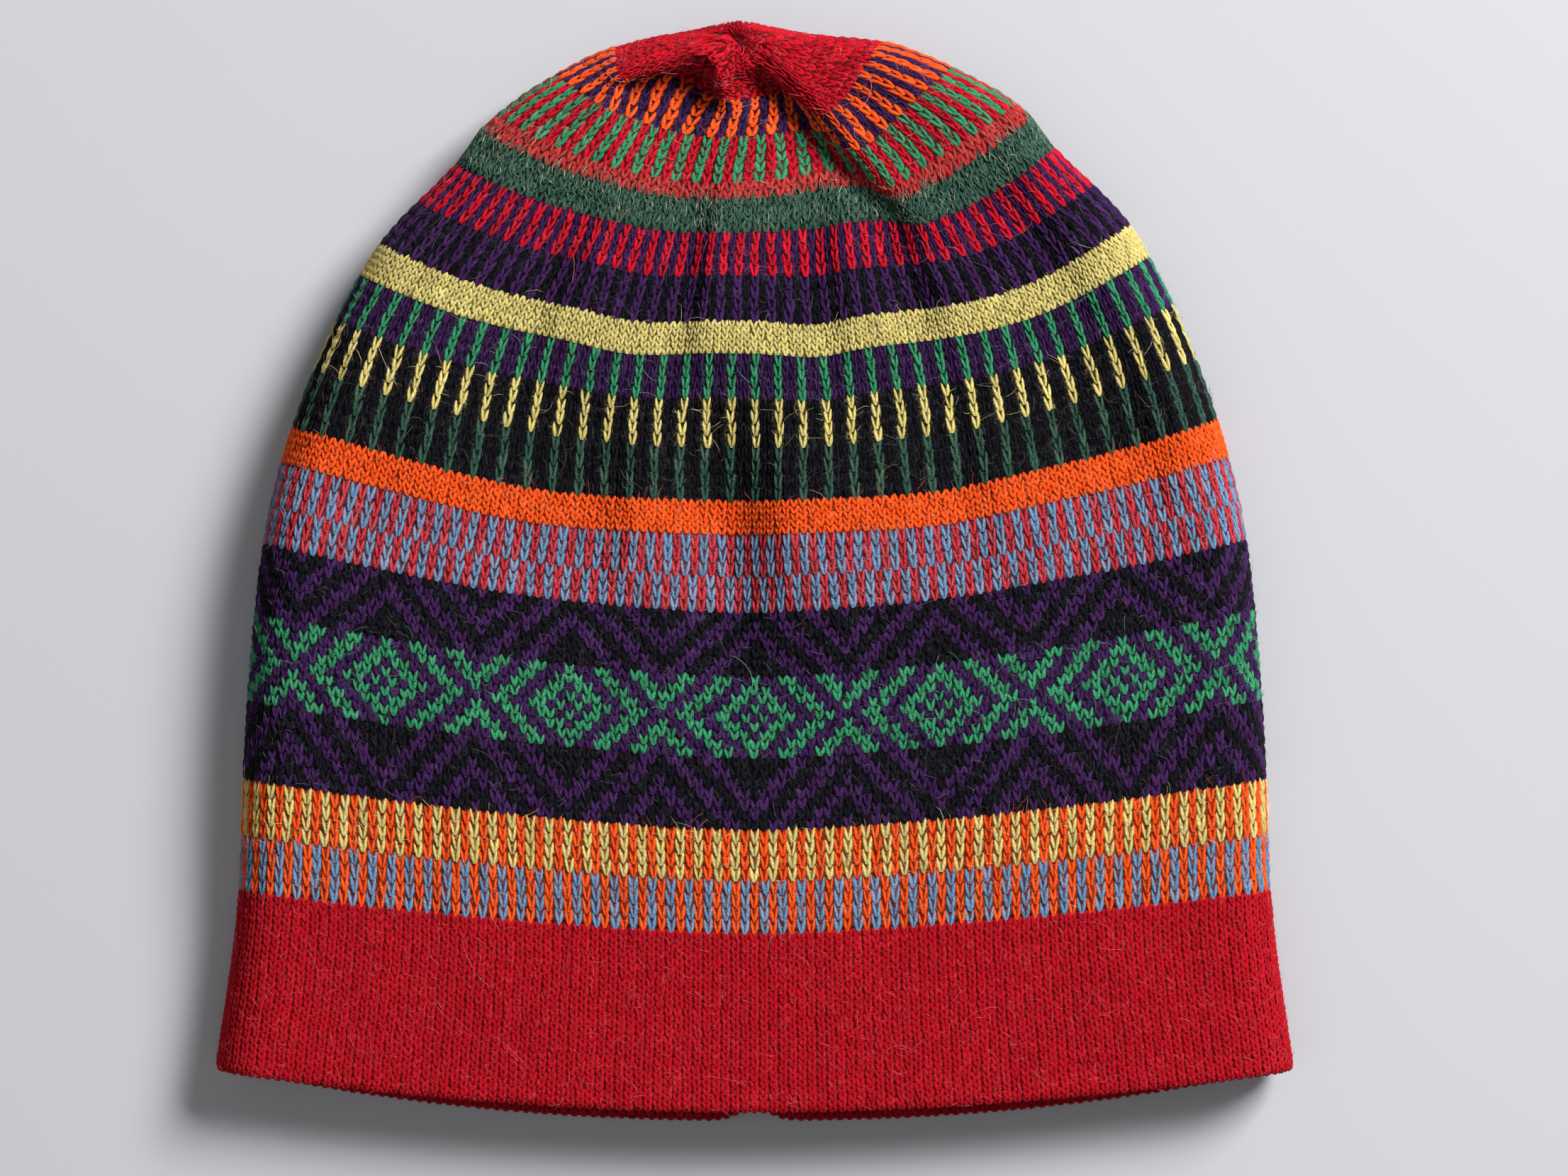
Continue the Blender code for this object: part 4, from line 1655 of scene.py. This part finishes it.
class Shading:
    """A material, and short ways to add nodes to it.

    Attributes:
        material: The material.
        nodes: Its nodes.
        links: Their links.
        shader: Its shader.
    """

    def __init__(self, name: str, **inputs: float) -> None:
        """Make the material.

        Args:
            name: Its name.
            **inputs: Values of its shader's inputs, with underscores for blanks.
        """
        self.material = bpy.data.materials.new(name)
        self.material.use_nodes = True
        self.nodes = self.material.node_tree.nodes
        self.links = self.material.node_tree.links
        self.shader = self.nodes["Principled BSDF"]
        self.feed(self.shader, **inputs)

    def feed(self, node: bpy.types.Node, **inputs: object) -> None:
        """Set or link inputs of a node.

        Args:
            node: The node.
            **inputs: A socket or a value for each input, with underscores for blanks.
        """
        for key, value in inputs.items():
            self.join(value, node.inputs[key.replace("_", " ")])

    def join(self, value: object, target: bpy.types.NodeSocket) -> None:
        """Link a socket to an input, or set a plain value on it.

        Args:
            value: The socket or the value.
            target: The input.
        """
        if isinstance(value, bpy.types.NodeSocket):
            self.links.new(value, target)
        else:
            target.default_value = value

    def add(self, kind: str, **inputs: object) -> bpy.types.Node:
        """Add a node.

        Args:
            kind: Its type, without the first word.
            **inputs: A socket or a value for each input, with underscores for blanks.

        Returns:
            The node.
        """
        made = self.nodes.new("ShaderNode" + kind)
        self.feed(made, **inputs)
        return made

    def attribute(self, name: str, output: str) -> bpy.types.NodeSocket:
        """Read one of the mesh's attributes.

        Args:
            name: Name of the attribute.
            output: The node's output to use.

        Returns:
            The output.
        """
        made = self.add("Attribute")
        made.attribute_name = name
        return made.outputs[output]

    def calculated(self, operation: str, *operands: object) -> bpy.types.NodeSocket:
        """Work out a number.

        Args:
            operation: The Math node's operation.
            *operands: Sockets or numbers.

        Returns:
            The result.
        """
        made = self.add("Math")
        made.operation = operation
        for value, target in zip(operands, made.inputs):
            self.join(value, target)
        return made.outputs["Value"]

    def scaled(self, colour: bpy.types.NodeSocket, scale: object) -> bpy.types.NodeSocket:
        """Multiply a colour by a number.

        Args:
            colour: The colour.
            scale: The number's socket.

        Returns:
            The brighter or darker colour.
        """
        made = self.add("VectorMath")
        made.operation = "SCALE"
        self.feed(made, Vector=colour, Scale=scale)
        return made.outputs["Vector"]

    def mixed(self, share: object, first: object, second: object) -> bpy.types.NodeSocket:
        """Mix two colours.

        Args:
            share: Share of the second colour, cut off at 0 and 1.
            first: The first colour.
            second: The second colour.

        Returns:
            The mixed colour.
        """
        made = self.add("Mix")
        made.data_type = "RGBA"
        made.clamp_factor = True
        self.feed(made, Factor=share, A=first, B=second)
        return made.outputs["Result"]


@dataclass(frozen=True)
class YarnFinish:
    """Finish of knitted yarn, read from the colours that its mesh carries.

    Attributes:
        name: Name of the material.
        roughness: Roughness of the fibres.
        specular: Strength of their gloss.
        sheen: Strength of the soft rim of light.
        sheen_roughness: Roughness of the rim.
        painted_shade_level: Brightness left by the painted shade deepest between the stitches.
        twist: Depth of the yarn's twist.
        twist_length: Length of one turn along the yarn, in millimetres.
        twist_slant: Turns across the yarn's width.
        twist_relief: Relief of a twist of 1.
        loops: Depth of the loops on a smooth sheet, or 0 where the stitches are modelled.
        loop_arch: How far each loop arches.
        fibre_stretch: How the noise of the fibres is stretched along the yarn.
        fibre_scale: Scale of that noise.
        fibre_middle: Value of it at which the ply's colour starts.
        fibre_streak: How sharply the ply's colour sets in.
        fibre_relief: Relief of the fibres.
        grain: Brightness where the fibres' noise is 0.
        cloud_scale: Scale of the mottling.
        cloud_mottle: Strength of the mottling.
        lint_and_highlight: Strength of the pale lines of loose fibres, partly painted highlight.
        lint_layers: Scale and shift of each layer of them.
        lint_curl: How curly they are.
        lint_fineness: How thin they are.
        lint_highlight_tint: Share of the ply's colour in the lines, brightened for the
            highlight.
        lint_highlight_grey: Grey added to it for the highlight.
        lint_relief: Relief of the fine fibres.
        bump: Strength of the relief.
        bump_depth: Its depth in metres.
    """

    name: str
    roughness: float = 0.90
    specular: float = 0.05
    sheen: float = 0.02
    sheen_roughness: float = 0.45
    painted_shade_level: float = 0.12
    twist: float = 0.5
    twist_length: float = 0.9
    twist_slant: float = 0.9
    twist_relief: float = 0.35
    loops: float = 0.0
    loop_arch: float = 0.8
    fibre_stretch: tuple[float, float, float] = (0.9, 7.0, 1.0)
    fibre_scale: float = 1.6
    fibre_middle: float = 0.44
    fibre_streak: float = 5.0
    fibre_relief: float = 1.2
    grain: float = 0.52
    cloud_scale: float = 700.0
    cloud_mottle: float = 0.9
    lint_and_highlight: float = 0.27
    lint_layers: tuple[tuple[float, Colour], ...] = (
        (380.0, (0.0, 0.0, 0.0)), (560.0, (0.3, 0.7, 0.1)))
    lint_curl: float = 0.8
    lint_fineness: float = 34.0
    lint_highlight_tint: float = 1.1
    lint_highlight_grey: float = 0.03
    lint_relief: float = 0.4
    bump: float = 0.6
    bump_depth: float = 0.25 * MM

    def material(self) -> bpy.types.Material:
        """Make the material.

        Noise stretched along the yarn mixes its two colours fibre by fibre, the depth
        attribute paints shade on what lies between the stitches, and fine pale lines of
        loose fibres, partly a painted highlight, lie over both.

        Returns:
            The material.
        """
        shading = Shading(
            self.name, Roughness=self.roughness, Specular_IOR_Level=self.specular,
            Sheen_Weight=self.sheen, Sheen_Roughness=self.sheen_roughness)
        yarn = shading.add("UVMap")
        yarn.uv_map = "yarn"
        place = shading.add("TexCoord").outputs["Object"]
        stretch = shading.add("Mapping", Vector=yarn.outputs["UV"], Scale=self.fibre_stretch)
        fibres = shading.add(
            "TexNoise", Vector=stretch.outputs["Vector"], Scale=self.fibre_scale, Detail=3.0,
            Roughness=0.6).outputs["Fac"]
        cloud = shading.add(
            "TexNoise", Vector=place, Scale=self.cloud_scale, Detail=2.0,
            Roughness=0.5).outputs["Fac"]
        layers = [self._strands(shading, place, *layer) for layer in self.lint_layers]
        lint_and_highlight = shading.calculated("ADD", *layers)

        ply = shading.attribute("ply", "Color")
        heather = shading.attribute("heather", "Fac")
        streak = shading.calculated("SUBTRACT", fibres, self.fibre_middle)
        streak = shading.calculated("MULTIPLY", streak, self.fibre_streak)
        streak = shading.calculated("MULTIPLY", streak, heather)
        mottle = shading.calculated("SUBTRACT", cloud, 0.5)
        mottle = shading.calculated("MULTIPLY", mottle, self.cloud_mottle)
        mottle = shading.calculated("MULTIPLY", mottle, heather)
        share = shading.calculated("ADD", streak, mottle)
        colour = shading.mixed(share, shading.attribute("main", "Color"), ply)

        # Painted shade: the depth attribute darkens the yarn between the stitches, times the
        # fibres' grain.
        depth = shading.attribute("depth", "Fac")
        lit = shading.calculated("MULTIPLY_ADD", depth, self.painted_shade_level - 1.0, 1.0)
        lit = shading.calculated("MULTIPLY", lit, shading.calculated("ADD", fibres, self.grain))
        # Pale colour of the loose fibres' lines: the ply's colour brightened, partly a painted
        # highlight.
        pale = shading.add("VectorMath")
        pale.operation = "MULTIPLY_ADD"
        tint, base = (self.lint_highlight_tint,) * 3, (self.lint_highlight_grey,) * 3
        for value, target in zip((ply, tint, base), pale.inputs):
            shading.join(value, target)
        colour = shading.mixed(
            shading.calculated("MULTIPLY", lint_and_highlight, self.lint_and_highlight), shading.scaled(colour, lit),
            pale.outputs["Vector"])
        bump = shading.add(
            "Bump", Strength=self.bump, Distance=self.bump_depth,
            Height=self._relief(shading, yarn.outputs["UV"], fibres, lint_and_highlight))
        shading.feed(shading.shader, Base_Color=colour, Normal=bump.outputs["Normal"])
        return shading.material

    def _strands(
        self, shading: Shading, place: bpy.types.NodeSocket, scale: float, shift: Colour
    ) -> bpy.types.NodeSocket:
        """Draw thin curly lines where a smooth noise passes its middle value.

        Args:
            shading: The material to add to.
            place: Object coordinates.
            scale: Scale of the noise.
            shift: Its shift.

        Returns:
            1 in the middle of a line and 0 beside it.
        """
        moved = shading.add("Mapping", Vector=place, Location=shift)
        smooth = shading.add(
            "TexNoise", Vector=moved.outputs["Vector"], Scale=scale, Detail=0.0,
            Distortion=self.lint_curl)
        away = shading.calculated("SUBTRACT", smooth.outputs["Fac"], 0.5)
        away = shading.calculated("ABSOLUTE", away)
        line = shading.calculated("MULTIPLY_ADD", away, -self.lint_fineness, 1.0)
        return shading.calculated("MAXIMUM", line, 0.0)

    def _relief(
        self, shading: Shading, yarn: bpy.types.NodeSocket, fibres: bpy.types.NodeSocket,
        lint_and_highlight: bpy.types.NodeSocket,
    ) -> bpy.types.NodeSocket:
        """Work out the relief: a slanted wave for the twist, fibres, lint and loops.

        Args:
            shading: The material to add to.
            yarn: Coordinates that follow the yarn.
            fibres: Noise of the fibres.
            lint_and_highlight: Lines of the fine fibres.

        Returns:
            The height.
        """
        split = shading.add("SeparateXYZ", Vector=yarn)
        along, across = split.outputs["X"], split.outputs["Y"]
        full_turn = 2.0 * math.pi
        phase = shading.calculated("MULTIPLY", along, full_turn / self.twist_length)
        slanted = shading.calculated("MULTIPLY", across, full_turn * self.twist_slant)
        wave = shading.calculated("SINE", shading.calculated("ADD", phase, slanted))
        waves = [(wave, self.twist_relief * self.twist), (fibres, self.fibre_relief),
                 (lint_and_highlight, self.lint_relief)]
        if self.loops:
            arch = shading.calculated("COSINE", shading.calculated("MULTIPLY", along, full_turn))
            arch = shading.calculated("MULTIPLY", arch, self.loop_arch)
            rows = shading.calculated("MULTIPLY", across, full_turn)
            rows = shading.calculated("SINE", shading.calculated("ADD", rows, arch))
            waves.append((rows, self.loops))
        relief = 0.0
        for wave, height in waves:
            relief = shading.calculated("MULTIPLY_ADD", wave, height, relief)
        return relief


@dataclass(frozen=True)
class FibreFinish:
    """Finish of the loose fibres, in their own colours.

    Attributes:
        name: Name of the material.
        roughness: Roughness of the fibres.
        specular: Strength of their gloss.
        noise_scale: Scale of the change of tone.
        tone_range: How far the tone changes.
        darkest: Its lowest value.
    """

    name: str
    roughness: float = 0.6
    specular: float = 0.3
    noise_scale: float = 500.0
    tone_range: float = 0.8
    darkest: float = 0.6

    def material(self) -> bpy.types.Material:
        """Make the material from the fibre's colour and a faint change along it.

        Returns:
            The material.
        """
        shading = Shading(
            self.name, Roughness=self.roughness, Specular_IOR_Level=self.specular)
        place = shading.add("TexCoord").outputs["Object"]
        noise = shading.add("TexNoise", Vector=place, Scale=self.noise_scale).outputs["Fac"]
        tone = shading.calculated("MULTIPLY_ADD", noise, self.tone_range, self.darkest)
        colour = shading.scaled(shading.attribute("main", "Color"), tone)
        shading.feed(shading.shader, Base_Color=colour)
        return shading.material


@dataclass(frozen=True)
class FloorFinish:
    """Finish of the plain pale floor.

    Attributes:
        name: Name of the material.
        roughness: Roughness of the floor.
        noise_scale: Scale of its faint unevenness.
        darker: Its darker tone.
        paler: Its paler tone.
    """

    name: str
    roughness: float = 0.7
    noise_scale: float = 3.0
    darker: Colour = linear(162, 162, 166)
    paler: Colour = linear(167, 167, 171)

    def material(self) -> bpy.types.Material:
        """Make the material.

        Returns:
            The material.
        """
        shading = Shading(self.name, Roughness=self.roughness)
        place = shading.add("TexCoord").outputs["Object"]
        noise = shading.add("TexNoise", Vector=place, Scale=self.noise_scale)
        ramp = shading.add("ValToRGB", Fac=noise.outputs["Fac"])
        for stop, colour in zip(ramp.color_ramp.elements, (self.darker, self.paler)):
            stop.color = (*colour, 1.0)
        shading.feed(shading.shader, Base_Color=ramp.outputs["Color"])
        return shading.material


# Parts of the hat


@dataclass
class HatPart:
    """One part of the hat: its stitches, the sheet under them and its loose fibres.

    Attributes:
        surface: The fabric's right side.
        form: The hat's form.
        node: The solid that it stands for.
        groups: Name of each piece of stitches, and its bands.
        inside: Bands of the folded-in layer.
        columns: Points round its sheet.
        folded: True where the sheet goes on round the hem's fold.
        closed: True where the sheet ends in a point.
        fibres: Kinds of loose fibre over the whole part.
        brushed: Kinds of loose fibre over single bands, and those bands.
    """

    surface: Surface
    form: HatForm
    node: str = ""
    groups: tuple[tuple[str, tuple[Band, ...]], ...] = ()
    inside: tuple[Band, ...] = ()
    columns: int = ROUND
    folded: bool = False
    closed: bool = False
    fibres: tuple[Fibres, ...] = ()
    brushed: tuple[tuple[Fibres, tuple[Band, ...]], ...] = ()

    @property
    def slot(self) -> str:
        """Name for the part's material slot, which no material here is given."""
        return self.node + "_knit"

    @property
    def bands(self) -> tuple[Band, ...]:
        """All bands of the part, lowest first."""
        return tuple(band for _, group in self.groups for band in group)

    def _settle(self, piece: bpy.types.Object) -> None:
        """Hang a piece on the body."""
        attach(piece, "root")

    def stitches(self, material: bpy.types.Material) -> None:
        """Build one piece of stitches for each group of bands.

        Args:
            material: Its material.
        """
        knitting = Knitting(self.surface, self.form)
        for name, bands in self.groups:
            parts = [knitting.band(band) for band in bands]
            parts += [knitting.band(band, mirrored=True) for band in self.inside]
            self._settle(MeshData.joined(parts).piece(name + "_stitches", material))

    def sheet(self, material: bpy.types.Material) -> None:
        """Build the closed sheet, which takes the solid's place.

        Args:
            material: Its material.
        """
        sheet = Sheet(self.surface, self.form, columns=self.columns)
        data = sheet.build(self.bands, hem=self.folded, tip=self.closed)
        piece = data.piece(self.node + "_fabric", material)
        self._settle(piece)
        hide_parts(self.node)

    def fuzz(self, material: bpy.types.Material) -> None:
        """Build the loose fibres.

        Args:
            material: Their material.
        """
        halo = Halo(self.surface, self.form)
        grown = [halo.grow(self.bands, fibres) for fibres in self.fibres]
        grown += [halo.grow(bands, fibres) for fibres, bands in self.brushed]
        self._settle(MeshData.joined(grown).piece(self.node + "_fuzz", material))


@dataclass
class HemBand(HatPart):
    """Plain red band, knitted double and folded at its lower edge."""

    node: str = "hem_band"
    groups: tuple[tuple[str, tuple[Band, ...]], ...] = (("hem", HEM_BANDS),)
    inside: tuple[Band, ...] = INNER_HEM_BANDS
    columns: int = ROUND // 2
    folded: bool = True
    fibres: tuple[Fibres, ...] = (short_fuzz(3400), LONG_HAIRS)


@dataclass
class Body(HatPart):
    """Tube of striped and figured bands."""

    node: str = "body"
    groups: tuple[tuple[str, tuple[Band, ...]], ...] = (
        ("lower", LOWER_BANDS), ("middle", MIDDLE_BANDS), ("upper", UPPER_BANDS),
        ("taper", TAPER_BANDS))
    fibres: tuple[Fibres, ...] = (short_fuzz(10000), LONG_HAIRS)


@dataclass
class Crown(HatPart):
    """Narrowing part with the folds and the drawn-up red top."""

    node: str = "crown"
    groups: tuple[tuple[str, tuple[Band, ...]], ...] = (("crown", CROWN_BANDS),)
    closed: bool = True
    fibres: tuple[Fibres, ...] = (short_fuzz(2400), LONG_HAIRS)
    brushed: tuple[tuple[Fibres, tuple[Band, ...]], ...] = (
        (FOREST_BRUSH, CROWN_BANDS[:1]), (SALMON_BRUSH, CROWN_BANDS[1:2]))


# Studio


@dataclass(frozen=True)
class Lamp:
    """A square light that faces the hat.

    Attributes:
        name: Its name.
        place: Where it hangs.
        size: Length of its side.
        power: Its power.
    """

    name: str
    place: tuple[float, float, float]
    size: float
    power: float

    def hang(self, centre: tuple[float, float]) -> None:
        """Hang the light, turned towards a point on the floor.

        Args:
            centre: The point.
        """
        data = bpy.data.lights.new(self.name, "AREA")
        data.size = self.size
        data.energy = self.power
        light = bpy.data.objects.new(self.name, data)
        light.location = self.place
        away = np.array(self.place) - np.array((*centre, 0.0))
        flat = math.hypot(away[0], away[1])
        light.rotation_euler = (math.atan2(flat, away[2]), 0.0, math.atan2(away[0], -away[1]))
        bpy.context.scene.collection.objects.link(light)


@dataclass
class Studio:
    """Plain pale floor, soft lights and the camera over the hat.

    Attributes:
        centre: Point on the floor under the middle of the picture.
        view_width: Width of the picture at the height of the fabric.
        fabric_height: Height of the fabric's upper layer.
        lens: Focal length in millimetres.
        sensor: Width of the sensor in millimetres.
        clip_end: How far the camera sees.
        floor_size: Length of the floor's side.
        lamps: A soft key light beyond the crown and a wide fill.
        sky_colour: Colour of the pale sky.
        sky_strength: Strength of its light.
    """

    centre: tuple[float, float] = (0.0061, -0.00325)
    view_width: float = 0.3249
    fabric_height: float = 0.016
    lens: float = 150.0
    sensor: float = 36.0
    clip_end: float = 20.0
    floor_size: float = 9.0
    lamps: tuple[Lamp, ...] = (
        Lamp("key", (1.22, 1.13, 1.40), 0.90, 107.0),
        Lamp("fill", (-0.6, -0.5, 1.6), 1.6, 6.0),
    )
    sky_colour: Colour = (0.95, 0.97, 1.0)
    sky_strength: float = 0.20

    def floor(self) -> None:
        """Lay the floor: a flat square with a faint unevenness in its colour."""
        half = self.floor_size / 2.0
        mesh = bpy.data.meshes.new("floor")
        mesh.from_pydata(
            [(-half, -half, 0.0), (half, -half, 0.0), (half, half, 0.0), (-half, half, 0.0)],
            [], [(0, 1, 2, 3)])
        mesh.materials.append(FloorFinish("pale_floor").material())
        floor = bpy.data.objects.new("floor", mesh)
        bpy.context.scene.collection.objects.link(floor)
        LOG.info("floor: %.1f m square", self.floor_size)

    def lights(self) -> None:
        """Hang the lights under a pale sky."""
        for lamp in self.lamps:
            lamp.hang(self.centre)
        world = bpy.data.worlds.new("sky")
        world.use_nodes = True
        sky = world.node_tree.nodes["Background"]
        sky.inputs["Color"].default_value = (*self.sky_colour, 1.0)
        sky.inputs["Strength"].default_value = self.sky_strength
        bpy.context.scene.world = world

    def camera(self) -> None:
        """Hang the camera straight over the hat, with +Y up in the picture."""
        data = bpy.data.cameras.new("camera")
        data.lens = self.lens
        data.sensor_width = self.sensor
        data.clip_end = self.clip_end
        camera = bpy.data.objects.new("camera", data)
        distance = self.view_width * self.lens / self.sensor
        camera.location = (*self.centre, self.fabric_height + distance)
        bpy.context.scene.collection.objects.link(camera)
        bpy.context.scene.camera = camera
        bpy.context.scene.view_settings.view_transform = "Standard"


def main() -> None:
    """Build the hat and the studio in order."""
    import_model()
    form = HatForm()
    surface = form.surface()
    # The finishes differ in how dark the painted shade between the stitches and on the sheet is.
    knit = YarnFinish("alpaca_knit").material()
    hem_knit = YarnFinish("alpaca_hem_knit", painted_shade_level=0.30).material()
    reverse = YarnFinish("alpaca_reverse", twist=0.2, loops=1.0, painted_shade_level=0.16).material()
    hem_reverse = YarnFinish("alpaca_hem_reverse", twist=0.2, loops=1.0, painted_shade_level=0.30).material()
    fibre = FibreFinish("alpaca_fibre").material()
    parts = (
        (HemBand(surface, form), hem_knit, hem_reverse),
        (Body(surface, form), knit, reverse),
        (Crown(surface, form), knit, reverse),
    )
    for part, right_side, reverse_side in parts:
        part.stitches(right_side)
        part.sheet(reverse_side)
        part.fuzz(fibre)
    studio = Studio()
    studio.floor()
    studio.lights()
    studio.camera()
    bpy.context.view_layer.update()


if __name__ == "__main__":
    logging.basicConfig(level=logging.INFO)
    main()
